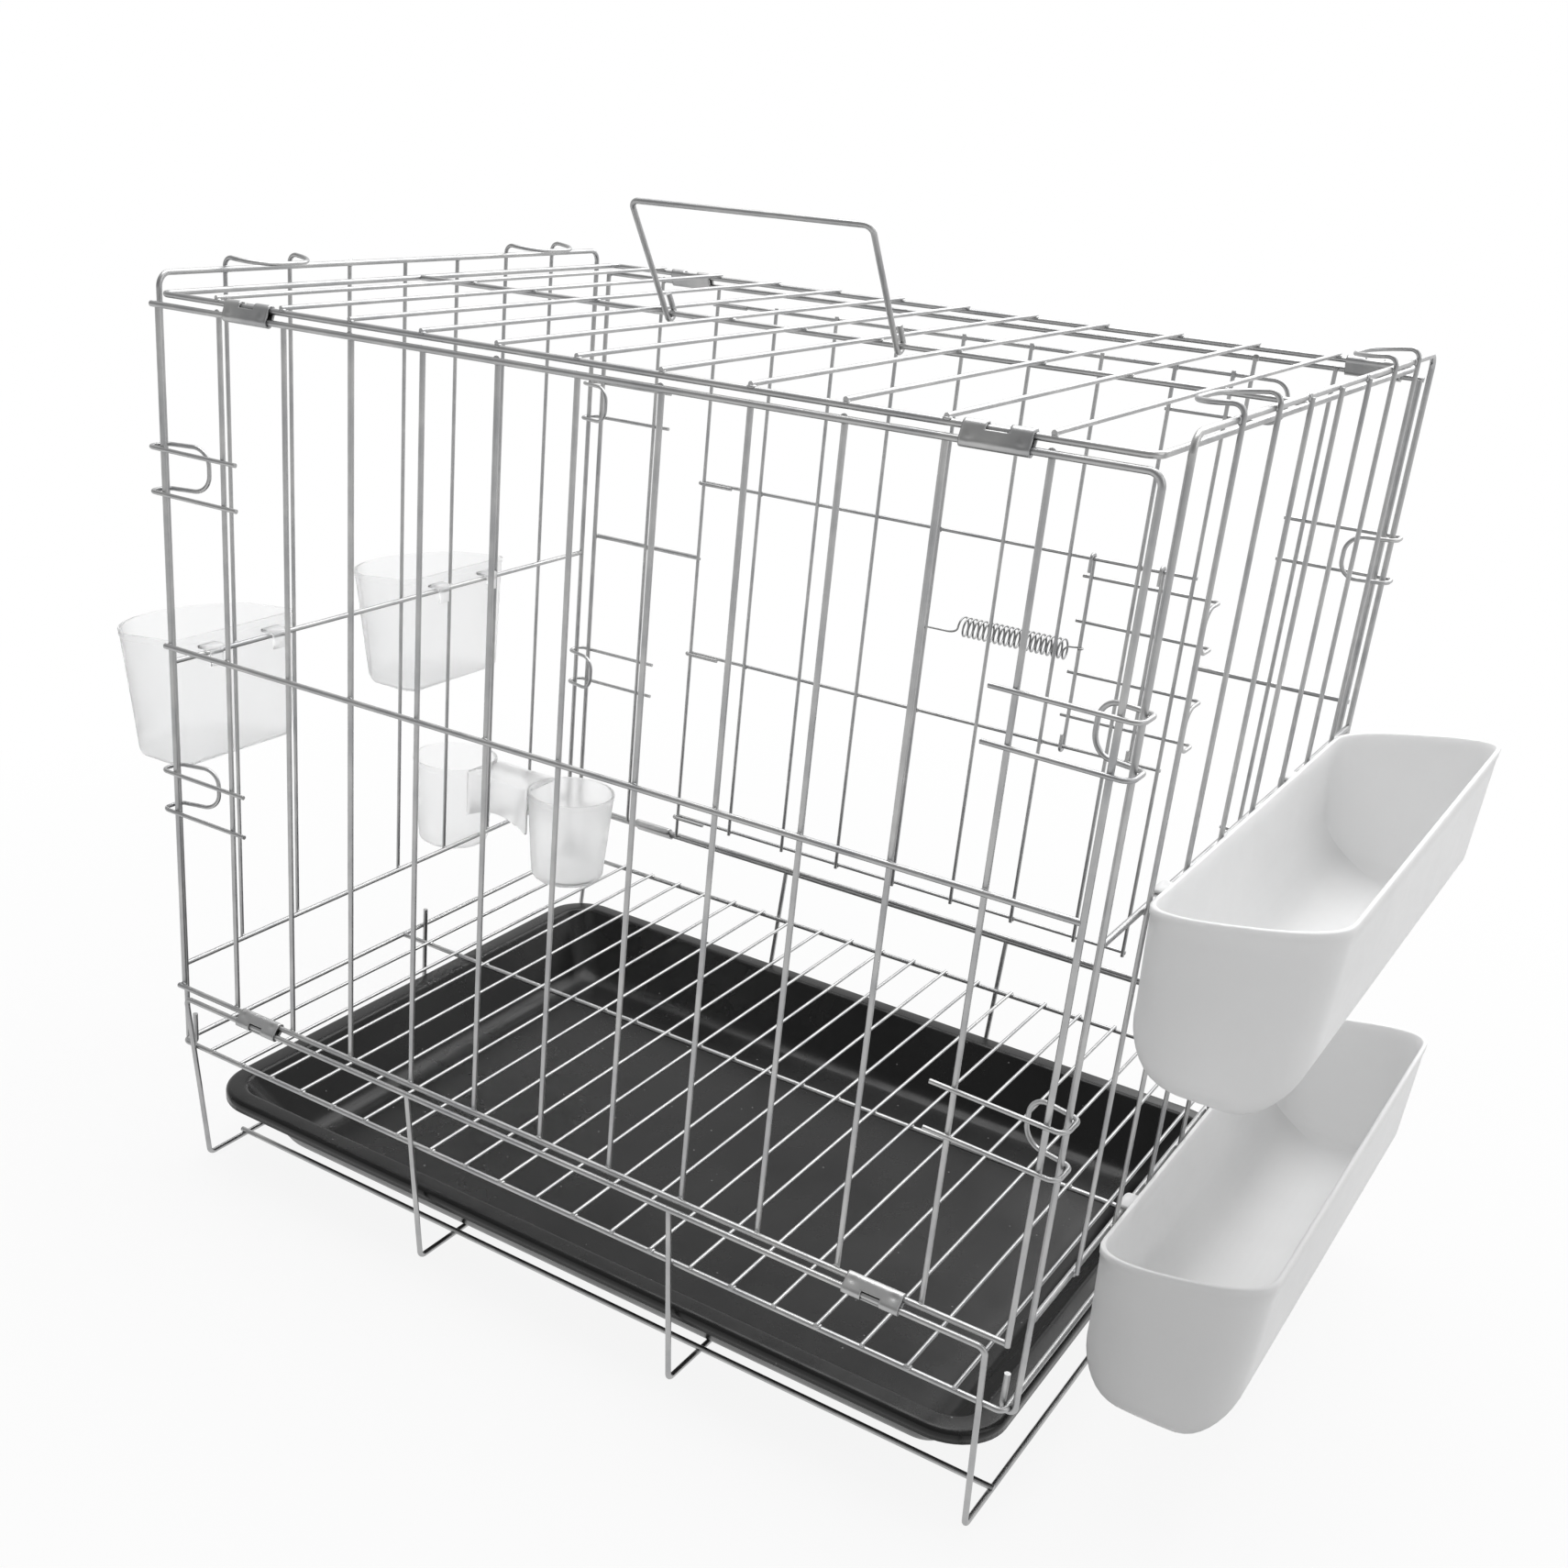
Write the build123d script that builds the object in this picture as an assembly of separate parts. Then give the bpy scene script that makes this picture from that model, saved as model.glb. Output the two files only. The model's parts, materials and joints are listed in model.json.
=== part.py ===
from build123d import *
import math
import os

# Folding pigeon breeding cage, in millimetres. The origin is on the ground under the middle;
# +X runs along the long side, -Y is the front, +Z is up.
LENGTH = 450.0            # front and back panels, edge wire to edge wire
BAYS = 12                 # openings along the front
PITCH = LENGTH / BAYS
DEPTH = 344.0             # front panel rails to back panel rails
PANEL_HEIGHT = 330.0      # bottom rail to top rail
MID_RISE = 177.0          # middle rail above the bottom rail
BOTTOM_Z = 101.0          # panels' bottom rails above the ground
TOP_Z = BOTTOM_Z + PANEL_HEIGHT
FRONT_Y = -DEPTH / 2
FLOOR_Z = 68.0            # floor perimeter above the ground

RAIL = 2.6                # wire diameters
BAR = 2.0
FRONT_BAR = 2.4
FLOOR_BAR = 1.8
WELD = 0.3                # how far one wire is pressed into the other at a weld
OVERHANG = 1.6            # front rails past the left edge wire
CROSS_OVERHANG = 1.0      # cross wires past the rails that carry them
TEE = 0.6                 # a rail that meets an edge wire end on stops this short of its middle
CORNER = 5.0              # bend of the front panel's top right corner
BEND_TRIM = 0.01          # keeps two bends of one eye from running into each other
BAR_STEP = (RAIL + BAR) / 2 - WELD
FRONT_STEP = (RAIL + FRONT_BAR) / 2 - WELD
EDGE_STEP = RAIL - WELD

# Base
BASE_DY = 3.4             # hinge rail outside the panel rail
BASE_DZ = 3.4             # hinge rail below the panel rail
LEG_X = LENGTH / 2 - 7.0
INNER_LEG_X = LEG_X / 3
LEG_LEAN = 12.0           # how far a leg comes inward on its way to the ground
LEG_BEND = 3.5
FOOT_Z = RAIL / 2
HINGE_RAIL_Y = DEPTH / 2 + BASE_DY
HINGE_RAIL_Z = BOTTOM_Z - BASE_DZ
FOOT_Y = HINGE_RAIL_Y - LEG_LEAN
LEG_SLOPE = LEG_LEAN / (HINGE_RAIL_Z - FOOT_Z)
TIE_Y = FOOT_Y - 25.0     # long wires that tie the feet
TIE_OVERHANG = 1.5
FLOOR_BAYS = 22
FLOOR_CORNER = 3.5
FLOOR_Y = FOOT_Y + LEG_SLOPE * (FLOOR_Z - FOOT_Z) - EDGE_STEP
STOP_Y = 17.0             # tray stop on the left end
STOP_DROP = 38.0          # stop below the floor's perimeter
STOP_RISE = 11.0          # and above it

# Roof
ROOF_DY = 1.8             # roof rail inside the panel rail
ROOF_DZ = 4.5             # roof rail above the panel rail
ROOF_Z = TOP_Z + ROOF_DZ
ROOF_END_X = LENGTH / 2 - 3.0
ROOF_CORNER = 5.0

# Clips
CLIP_X = LENGTH / 2 - 1.5 * PITCH
CORNER_CLIP_X = LENGTH / 2 - 21.0  # the roof's back right clip, next to the corner
CLIP_LENGTH = 25.0
CLIP_WALL = 0.9
CLIP_PLAY = 0.3           # clearance round the panel's rail
CLIP_CRIMP = 0.08         # bite on the fixed rail
CLIP_WINDOW = 7.0
CLIP_WINDOW_WIDTH = 2.6

# End panels
END_X = LENGTH / 2 + 5.0  # plane of the frame wires
END_EDGE_Y = DEPTH / 2 - 8.0
END_BAYS = 8
END_PITCH = 2 * END_EDGE_Y / END_BAYS
END_BOTTOM_Z = BOTTOM_Z + 8.0
END_MID_Z = BOTTOM_Z + 167.0
END_TOP_Z = TOP_Z + 12.0
END_CORNER = 6.0
EYE = RAIL + 0.1          # bend of the hinge eyes, round the base's end wire
EYE_TAIL = 14.0
END_AXIS_X = END_X - EYE
BARS_OUT = END_X + BAR_STEP + BAR / 2
HAIRPIN_BARS = ((1, 2), (6, 7))
HAIRPIN_RISE = 5.5
HAIRPIN_REACH = 20.0
HAIRPIN_DIP = 2.0
HAIRPIN_BEND = 4.0
HAIRPIN_TIP_BEND = 15.0

# Corner catches: lower ends of the loops above the bottom rails, corner by corner
CATCH_WIRE = 2.0
CATCH_TAIL = 47.0
CATCH_OUT = 8.0
CATCH_BACK = 11.3
CATCH_TIP = (13.0, 17.0)
CATCH_LOOP = 20.0
CATCH_SEAT = (0.3, 0.3)          # tail and bend, inward from the rails
CATCH_SLANT_SEAT = (1.0, -2.5)   # the same for the slanted pair at the front right
CATCH_BEND = 4.0
CATCH_TIP_BEND = 8.0
FRONT_LEFT_CATCHES = (248.0, 94.0)
FRONT_RIGHT_CATCHES = (231.0, 77.0)
BACK_LEFT_CATCHES = (248.0, 85.0)
BACK_RIGHT_CATCHES = (239.0, 78.0)

# Door, latch and spring, on the back panel
POST_BAYS = 2             # bays between an edge wire and a door post
HINGE_POST_X = -LENGTH / 2 + POST_BAYS * PITCH
LATCH_POST_X = LENGTH / 2 - POST_BAYS * PITCH
DOOR_BAYS = BAYS - 2 * POST_BAYS
DOOR_PLAY = 0.15
DOOR_RAIL_RISES = (13.0, 119.0, 221.5, PANEL_HEIGHT - 9.0)
DOOR_OVERHANG = 2.0       # uprights past the top and bottom rails
DOOR_EDGE_X = LATCH_POST_X - 9.0
DOOR_STOP_X = LATCH_POST_X + 18.0
DOOR_STOP_DROP = 20.0
DOOR_STOP_BEND = 8.0
KNUCKLE_TAIL = 20.0
KNUCKLE = BAR + DOOR_PLAY
DOOR_AXIS_Y = DEPTH / 2 - BAR_STEP
DOOR_Y = DOOR_AXIS_Y + KNUCKLE
DOOR_BAR_Y = DOOR_Y - (BAR - WELD)
LATCH_X = (LATCH_POST_X - 63.0, LATCH_POST_X - 26.0)
LATCH_PLAY = 0.3
LATCH_LOOPS = ((211.0, 187.0), (159.0, 135.0))
LATCH_LOOP_X = LATCH_POST_X + 4.5
LATCH_REACH = 20.0
LATCH_TAIL = 7.0
LATCH_STUB = 5.0          # rungs past the first upright
LATCH_BEND = 4.0
LATCH_LOOP_BEND = 9.0
LATCH_EYE = BAR + LATCH_PLAY
LATCH_Y = DOOR_Y + LATCH_EYE
RUNG_Y = LATCH_Y + BAR - WELD
SPRING_WIRE = 1.1
SPRING_RADIUS = 5.2
SPRING_TURNS = 20
SPRING_UPRIGHT_X = LATCH_POST_X - 4 * PITCH
SPRING_X = (SPRING_UPRIGHT_X + 18.0, LATCH_X[0] - 8.0)
SPRING_RISE = 170.0
SPRING_PLAY = 0.5         # between the coil and the door's uprights
SPRING_EYE_PLAY = 0.15
SPRING_LEG_RISE = 3.0     # legs below and above the middle of the coil
SPRING_LEG_LENGTHS = (6.0, 3.0)
SPRING_LEG_STEP = 1.5
SPRING_Y = DOOR_BAR_Y + BAR / 2 + SPRING_RADIUS + SPRING_WIRE / 2 + SPRING_PLAY

# Handle
HANDLE_FEET_X = (4.0 - 2 * PITCH, PITCH + 9.5)
HANDLE_HEIGHT = 62.0
HANDLE_BEND = 4.0
HANDLE_TAIL = 9.0
HANDLE_EYE = RAIL + 0.2
HANDLE_LEAN = 35.0

# Tray
TRAY_LENGTH = 2 * (LEG_X + 2.0)
TRAY_SIDE_GAP = 2.5       # from the turned-down edge to the legs
TRAY_BOTTOM = RAIL + 0.15
TRAY_TOP = 41.0
TRAY_TAPER = 22.0
TRAY_WALL = 1.8
TRAY_RIM = 9.0
TRAY_LIP = 6.0
TRAY_LIP_Z = TRAY_TOP - TRAY_LIP
TRAY_WIDTH = 2 * (FOOT_Y + LEG_SLOPE * (TRAY_LIP_Z - FOOT_Z) - RAIL / 2 - TRAY_SIDE_GAP)
TRAY_CORNER = 26.0

# Troughs on the right end, cups on the left end
POT_GAP = 0.5             # between the bars and the pots
POT_WALL = 1.8
POT_X = BARS_OUT + POT_GAP
HOOK_PLAY = 0.2
TAB_WALL = 1.5
TAB_WIDTH = 12.0
TAB_DROP = 8.0
TAB_ROOT = 1.0            # how far a tab runs into the wall of its pot
TROUGH_WIDTH = 70.0
TROUGH_DEPTH = 68.0
TROUGH_LENGTH = 280.0
TROUGH_RISE = 12.0        # outer wall above the inner one
TROUGH_BULGE = 10.0
TROUGH_CORNER = 14.0
TROUGH_SHOULDER = 40.0    # straight part of the walls
TROUGH_NEAR_SLOPE = 1.5
TROUGH_FAR_SLOPE = 2.5
UPPER_TROUGH_FRONT = -142.0
UPPER_TROUGH_TABS = (1.5 * END_PITCH - END_EDGE_Y, 5.5 * END_PITCH - END_EDGE_Y)
UPPER_TROUGH_RIM = END_MID_Z + 6.0
LOWER_TROUGH_FRONT = -118.0
LOWER_TROUGH_TABS = (2.5 * END_PITCH - END_EDGE_Y, 6.5 * END_PITCH - END_EDGE_Y)
LOWER_TROUGH_RIM = END_BOTTOM_Z + 6.0
FRONT_CUP_Y = END_PITCH - END_EDGE_Y + 5.0
BACK_CUP_Y = 5 * END_PITCH - END_EDGE_Y + 11.0
CUP_TAB_SPREAD = 21.0
CUP_RIM = END_MID_Z + 8.0
CUP_DEPTH = 66.0
CUP_HALF = 43.0           # at the rim
CUP_REACH = 66.0
CUP_FOOT_HALF = 40.0      # at the bottom
CUP_FOOT_REACH = 53.0
CUP_RIM_TILT = 6.0        # degrees, down on the outside
CUP_SHOULDER = 0.55       # share of the reach that is straight
DOUBLE_Y = 6.5 * END_PITCH - END_EDGE_Y
DOUBLE_RIM = END_BOTTOM_Z + 31.0
DOUBLE_DEPTH = 55.0
DOUBLE_RADIUS = 26.5
DOUBLE_FOOT = 22.0
DOUBLE_SPREAD = 45.0
DOUBLE_BRIDGE = 30.0


def rod(start, end, diameter):
    """A straight wire from one centre-line point to another."""
    start = Vector(*start)
    run = Vector(*end) - start
    return Solid.make_cylinder(diameter / 2, run.length, Plane(origin=start, z_dir=run))


def bent(points, diameter, radii):
    """A wire bent along a polyline, with a bend radius for every corner."""
    path = FilletPolyline(*points, radius=radii)
    section = Plane(origin=path @ 0, z_dir=path % 0) * Circle(diameter / 2)
    return sweep(section, path=path).solid()


def weld(wires):
    """One lattice from wires that are pressed into each other."""
    return wires[0].fuse(*wires[1:])


def group(solids):
    return Compound(children=list(solids))


def perimeter(half_x, half_y, z, bend):
    """Two halves of a rectangular wire ring, which meet in the middle of its ends."""
    halves = []
    for side in (-1, 1):
        points = [
            (-half_x, 0, z),
            (-half_x, side * half_y, z),
            (half_x, side * half_y, z),
            (half_x, 0, z),
        ]
        halves.append(bent(points, RAIL, [bend] * 2))
    return halves


def base_rail_frame(side):
    """Hinge rail of one side with its two legs and half of the feet."""
    points = [
        (-LEG_X, 0, FOOT_Z),
        (-LEG_X, side * FOOT_Y, FOOT_Z),
        (-LEG_X, side * HINGE_RAIL_Y, HINGE_RAIL_Z),
        (LEG_X, side * HINGE_RAIL_Y, HINGE_RAIL_Z),
        (LEG_X, side * FOOT_Y, FOOT_Z),
        (LEG_X, 0, FOOT_Z),
    ]
    return bent(points, RAIL, [LEG_BEND] * 4)


def inner_leg_frames():
    frames = []
    for x in (-INNER_LEG_X, INNER_LEG_X):
        points = [
            (x, -HINGE_RAIL_Y, HINGE_RAIL_Z),
            (x, -FOOT_Y, FOOT_Z),
            (x, FOOT_Y, FOOT_Z),
            (x, HINGE_RAIL_Y, HINGE_RAIL_Z),
        ]
        frames.append(bent(points, RAIL, [LEG_BEND] * 2))
    return group(frames)


def foot_tie_wires():
    z = FOOT_Z + EDGE_STEP
    reach = LEG_X + TIE_OVERHANG
    return group(rod((-reach, y, z), (reach, y, z), RAIL) for y in (-TIE_Y, TIE_Y))


def floor_grid():
    """Perimeter, cross wires on top of it and a wire along the middle."""
    wires = perimeter(END_AXIS_X, FLOOR_Y, FLOOR_Z, FLOOR_CORNER)
    reach = END_AXIS_X - TEE
    wires.append(rod((-reach, 0, FLOOR_Z), (reach, 0, FLOOR_Z), RAIL))
    z = FLOOR_Z + (RAIL + FLOOR_BAR) / 2 - WELD
    step = 2 * END_AXIS_X / FLOOR_BAYS
    half = FLOOR_Y + CROSS_OVERHANG
    for index in range(1, FLOOR_BAYS):
        x = -END_AXIS_X + index * step
        wires.append(rod((x, -half, z), (x, half, z), FLOOR_BAR))
    return weld(wires)


def tray_stop():
    x = EDGE_STEP - END_AXIS_X
    return rod((x, STOP_Y, FLOOR_Z - STOP_DROP), (x, STOP_Y, FLOOR_Z + STOP_RISE), RAIL)


def clip(x, fixed, turning):
    """Rolled sleeve round a fixed rail, which it grips, and the panel rail that turns in it.

    Both rails are (y, z) points on their centre lines.
    """
    run = Vector(turning[0] - fixed[0], turning[1] - fixed[1])
    along = run.normalized()
    inner = (run.length + RAIL + CLIP_PLAY - CLIP_CRIMP) / 2
    centre = Vector(*fixed) + along * (inner - RAIL / 2 + CLIP_CRIMP)
    plane = Plane(origin=(x - CLIP_LENGTH / 2, centre.X, centre.Y), x_dir=(0, 1, 0), z_dir=(1, 0, 0))
    sleeve = Solid.make_cylinder(inner + CLIP_WALL, CLIP_LENGTH, plane)
    sleeve -= Solid.make_cylinder(inner, CLIP_LENGTH, plane)
    outward = 1 if centre.X > 0 else -1
    window = Plane(origin=(x, centre.X, centre.Y), x_dir=(1, 0, 0), z_dir=(0, outward, 0))
    slot = extrude(window * SlotOverall(CLIP_WINDOW, CLIP_WINDOW_WIDTH), amount=2 * inner)
    return (sleeve - slot).solid()


def base_clips(side):
    fixed = (side * HINGE_RAIL_Y, HINGE_RAIL_Z)
    turning = (side * DEPTH / 2, BOTTOM_Z)
    return group(clip(x, fixed, turning) for x in (-CLIP_X, CLIP_X))


def roof_clips(side):
    fixed = (side * (DEPTH / 2 - ROOF_DY), ROOF_Z)
    turning = (side * DEPTH / 2, TOP_Z)
    right = CLIP_X if side < 0 else CORNER_CLIP_X
    return group(clip(x, fixed, turning) for x in (-CLIP_X, right))


def front_panel():
    """Rails on the outside, bars on the inside; the top rail runs down into the right edge."""
    left = -LENGTH / 2
    right = LENGTH / 2
    foot = BOTTOM_Z - RAIL / 2 + WELD
    frame = [(left - OVERHANG, FRONT_Y, TOP_Z), (right, FRONT_Y, TOP_Z), (right, FRONT_Y, foot)]
    wires = [bent(frame, RAIL, [CORNER])]
    for z in (BOTTOM_Z + MID_RISE, BOTTOM_Z):
        wires.append(rod((left - OVERHANG, FRONT_Y, z), (right - TEE, FRONT_Y, z), RAIL))
    edge_y = FRONT_Y + EDGE_STEP
    wires.append(rod((left, edge_y, BOTTOM_Z), (left, edge_y, TOP_Z), RAIL))
    bar_y = FRONT_Y + FRONT_STEP
    for index in range(1, BAYS):
        x = left + index * PITCH
        wires.append(rod((x, bar_y, BOTTOM_Z), (x, bar_y, TOP_Z), FRONT_BAR))
    return weld(wires)


def back_panel():
    """Like the front, but open between the two door posts."""
    y = DEPTH / 2
    reach = LENGTH / 2 + RAIL / 2
    wires = [rod((-reach, y, z), (reach, y, z), RAIL) for z in (BOTTOM_Z, TOP_Z)]
    mid_z = BOTTOM_Z + MID_RISE
    for side, post in ((-1, HINGE_POST_X), (1, LATCH_POST_X)):
        stub = post + side * CROSS_OVERHANG
        wires.append(rod((side * reach, y, mid_z), (stub, y, mid_z), RAIL))
        x = side * LENGTH / 2
        wires.append(rod((x, y - EDGE_STEP, BOTTOM_Z), (x, y - EDGE_STEP, TOP_Z), RAIL))
        for bar_x in (side * (LENGTH / 2 - PITCH), post):
            wires.append(rod((bar_x, DOOR_AXIS_Y, BOTTOM_Z), (bar_x, DOOR_AXIS_Y, TOP_Z), BAR))
    return weld(wires)


def catches(inward, side, rises, seat):
    """Two wire loops that reach round the corner and bulge into the cage."""
    tail_v, bend_v = seat
    plan = [(CATCH_TAIL, tail_v), (-CATCH_OUT, bend_v), (-CATCH_OUT, CATCH_BACK), CATCH_TIP]
    ends = [CATCH_BEND, CATCH_BEND, CATCH_TIP_BEND]
    loops = []
    for low in rises:
        high = low + CATCH_LOOP
        points = [(u, v, high) for u, v in plan] + [(u, v, low) for u, v in reversed(plan)]
        placed = [
            (side * (LENGTH / 2 - u), inward * (FRONT_Y + v), BOTTOM_Z + z) for u, v, z in points
        ]
        loops.append(bent(placed, CATCH_WIRE, ends + ends[::-1]))
    return group(loops)


def door():
    """Rails with eyes round the hinge post, uprights inside them, stop loop at the top."""
    left = HINGE_POST_X
    eye = KNUCKLE - BEND_TRIM
    wires = []
    for rise in DOOR_RAIL_RISES:
        z = BOTTOM_Z + rise
        points = [
            (left + KNUCKLE_TAIL, DOOR_AXIS_Y - KNUCKLE, z),
            (left - KNUCKLE, DOOR_AXIS_Y - KNUCKLE, z),
            (left - KNUCKLE, DOOR_Y, z),
        ]
        radii = [eye, eye]
        if rise == DOOR_RAIL_RISES[-1]:
            points += [
                (DOOR_STOP_X, DOOR_Y, z),
                (DOOR_STOP_X, DOOR_Y, z - DOOR_STOP_DROP),
                (LATCH_POST_X - PITCH - DOOR_OVERHANG, DOOR_Y, z - DOOR_STOP_DROP),
            ]
            radii += [DOOR_STOP_BEND] * 2
        else:
            points.append((DOOR_EDGE_X + CROSS_OVERHANG, DOOR_Y, z))
        wires.append(bent(points, BAR, radii))
    low = BOTTOM_Z + DOOR_RAIL_RISES[0] - DOOR_OVERHANG
    high = BOTTOM_Z + DOOR_RAIL_RISES[-1] + DOOR_OVERHANG
    uprights = [HINGE_POST_X + index * PITCH for index in range(1, DOOR_BAYS)] + [DOOR_EDGE_X]
    for x in uprights:
        wires.append(rod((x, DOOR_BAR_Y, low), (x, DOOR_BAR_Y, high), BAR))
    return weld(wires)


def latch():
    """Two uprights hooked on the door's middle rails, carrying two closed loops."""
    low = BOTTOM_Z + DOOR_RAIL_RISES[1]
    high = BOTTOM_Z + DOOR_RAIL_RISES[2]
    inner = DOOR_Y - LATCH_EYE
    eye = LATCH_EYE - BEND_TRIM
    wires = []
    for x in LATCH_X:
        points = [
            (x, inner, high - LATCH_TAIL),
            (x, inner, high + LATCH_EYE),
            (x, LATCH_Y, high + LATCH_EYE),
            (x, LATCH_Y, low - LATCH_EYE),
            (x, inner, low - LATCH_EYE),
            (x, inner, low + LATCH_TAIL),
        ]
        wires.append(bent(points, BAR, [eye] * 4))
    start = LATCH_X[0] - LATCH_STUB
    for upper, lower in LATCH_LOOPS:
        plan = [(start, RUNG_Y), (LATCH_LOOP_X, RUNG_Y), (LATCH_LOOP_X, RUNG_Y - LATCH_REACH)]
        points = [(x, y, BOTTOM_Z + upper) for x, y in plan]
        points += [(x, y, BOTTOM_Z + lower) for x, y in reversed(plan)]
        wires.append(bent(points, BAR, [LATCH_BEND, LATCH_LOOP_BEND, LATCH_LOOP_BEND, LATCH_BEND]))
    return weld(wires)


def biarc(start, start_way, end, end_way):
    """Two arcs that leave one point along its direction and reach the other along its own."""
    span = end - start
    both = start_way + end_way
    apart = 2 * (1 - start_way.dot(end_way))
    reach = span.dot(both)
    if apart < 1e-9:
        length = span.dot(span) / (2 * reach)
    else:
        length = (-reach + math.sqrt(reach * reach + apart * span.dot(span))) / apart
    middle = (start + start_way * length + end - end_way * length) * 0.5
    first = TangentArc(start, middle, tangent=start_way)
    second = TangentArc(middle, end, tangent=first % 1)
    return [first, second]


def spring_centre_line():
    """Points and directions: a hook round the door upright, the coil, a hook round the latch."""
    start_x, end_x = SPRING_X
    lead = (end_x - start_x) / (2 * math.pi * SPRING_TURNS)
    z = BOTTOM_Z + SPRING_RISE
    coil = []
    for index in range(4 * SPRING_TURNS + 1):
        angle = index * math.pi / 2
        point = Vector(
            start_x + lead * angle,
            SPRING_Y - SPRING_RADIUS * math.cos(angle),
            z + SPRING_RADIUS * math.sin(angle),
        )
        way = Vector(lead, SPRING_RADIUS * math.sin(angle), SPRING_RADIUS * math.cos(angle))
        coil.append((point, way.normalized()))
    return coil


def latch_spring():
    """One unbroken wire: half eye, leg, coil, leg, half eye."""
    radius = BAR / 2 + SPRING_WIRE / 2 + SPRING_EYE_PLAY
    coil = spring_centre_line()
    near = Vector(1, 0, 0)
    left_x = SPRING_UPRIGHT_X
    right_x = LATCH_X[0]
    left_z = BOTTOM_Z + SPRING_RISE - SPRING_LEG_RISE
    right_z = BOTTOM_Z + SPRING_RISE + SPRING_LEG_RISE
    left_leg, right_leg = SPRING_LEG_LENGTHS
    stations = [
        (Vector(left_x, DOOR_BAR_Y - radius, left_z), Vector(-1, 0, 0)),
        (Vector(left_x - radius, DOOR_BAR_Y, left_z), Vector(0, 1, 0)),
        (Vector(left_x, DOOR_BAR_Y + radius, left_z), near),
        (Vector(SPRING_X[0] - left_leg, coil[0][0].Y, left_z), near),
    ]
    stations += coil
    stations += [
        (Vector(SPRING_X[1] + right_leg, coil[-1][0].Y + SPRING_LEG_STEP, right_z), near),
        (Vector(right_x, LATCH_Y + radius, right_z), near),
        (Vector(right_x + radius, LATCH_Y, right_z), Vector(0, -1, 0)),
        (Vector(right_x, LATCH_Y - radius, right_z), Vector(-1, 0, 0)),
    ]
    edges = []
    for (start, start_way), (end, end_way) in zip(stations, stations[1:]):
        span = end - start
        straight = start_way.cross(span).length < 1e-6 and end_way.cross(span).length < 1e-6
        edges += [Line(start, end)] if straight else biarc(start, start_way, end, end_way)
    path = Wire(edges)
    section = Plane(origin=stations[0][0], z_dir=stations[0][1]) * Circle(SPRING_WIRE / 2)
    gap = (SPRING_X[1] - SPRING_X[0]) / SPRING_TURNS - SPRING_WIRE
    print(f"latch_spring: gap between turns {gap:.2f} mm")
    return sweep(section, path=path).solid()


def roof_panel():
    rail_y = DEPTH / 2 - ROOF_DY
    wires = perimeter(ROOF_END_X, rail_y, ROOF_Z, ROOF_CORNER)
    reach = ROOF_END_X - TEE
    wires.append(rod((-reach, 0, ROOF_Z), (reach, 0, ROOF_Z), RAIL))
    z = ROOF_Z + BAR_STEP
    half = rail_y + CROSS_OVERHANG
    for index in range(1, BAYS):
        x = -LENGTH / 2 + index * PITCH
        wires.append(rod((x, -half, z), (x, half, z), BAR))
    return weld(wires)


def carry_handle():
    """One wire: eye, leg, grip, leg, eye; it turns on the roof's middle wire."""
    near, far = HANDLE_FEET_X
    eye = HANDLE_EYE
    foot = [(eye, HANDLE_TAIL), (eye, -eye), (-eye, -eye), (-eye, HANDLE_HEIGHT)]
    points = [(near, y, z) for y, z in foot] + [(far, y, z) for y, z in reversed(foot)]
    bend = eye - BEND_TRIM
    wire = bent(points, RAIL, [bend, bend, HANDLE_BEND, HANDLE_BEND, bend, bend])
    return Pos(0, 0, ROOF_Z) * Rot(HANDLE_LEAN, 0, 0) * wire


def end_panel(side):
    """Frame wire with an eye at each foot, rails in its plane, bars outside it."""
    x = side * END_X
    tail_x = side * (END_X - 2 * EYE)
    low = FLOOR_Z - EYE
    half = [(tail_x, FLOOR_Z + EYE_TAIL), (tail_x, low), (x, low), (x, END_TOP_Z)]
    points = [(px, -END_EDGE_Y, z) for px, z in half]
    points += [(px, END_EDGE_Y, z) for px, z in reversed(half)]
    bend = EYE - BEND_TRIM
    wires = [bent(points, RAIL, [bend, bend, END_CORNER, END_CORNER, bend, bend])]
    reach = END_EDGE_Y - TEE
    for z in (END_BOTTOM_Z, END_MID_Z):
        wires.append(rod((x, -reach, z), (x, reach, z), RAIL))
    bar_x = side * (END_X + BAR_STEP)
    for index in range(1, END_BAYS):
        y = -END_EDGE_Y + index * END_PITCH
        wires.append(rod((bar_x, y, END_BOTTOM_Z), (bar_x, y, END_TOP_Z), BAR))
    return weld(wires)


def end_hairpins(side):
    """Pairs of bars carried on above the top rail and joined over the roof."""
    x = side * (END_X + BAR_STEP)
    tip_x = side * (END_X + BAR_STEP - HAIRPIN_REACH)
    high = END_TOP_Z + HAIRPIN_RISE
    bends = [HAIRPIN_BEND, HAIRPIN_TIP_BEND, HAIRPIN_TIP_BEND, HAIRPIN_BEND]
    tips = []
    for first, second in HAIRPIN_BARS:
        half = [(x, END_TOP_Z), (x, high), (tip_x, high - HAIRPIN_DIP)]
        y_first = -END_EDGE_Y + first * END_PITCH
        y_second = -END_EDGE_Y + second * END_PITCH
        points = [(px, y_first, z) for px, z in half]
        points += [(px, y_second, z) for px, z in reversed(half)]
        tips.append(bent(points, BAR, bends))
    return group(tips)


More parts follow.
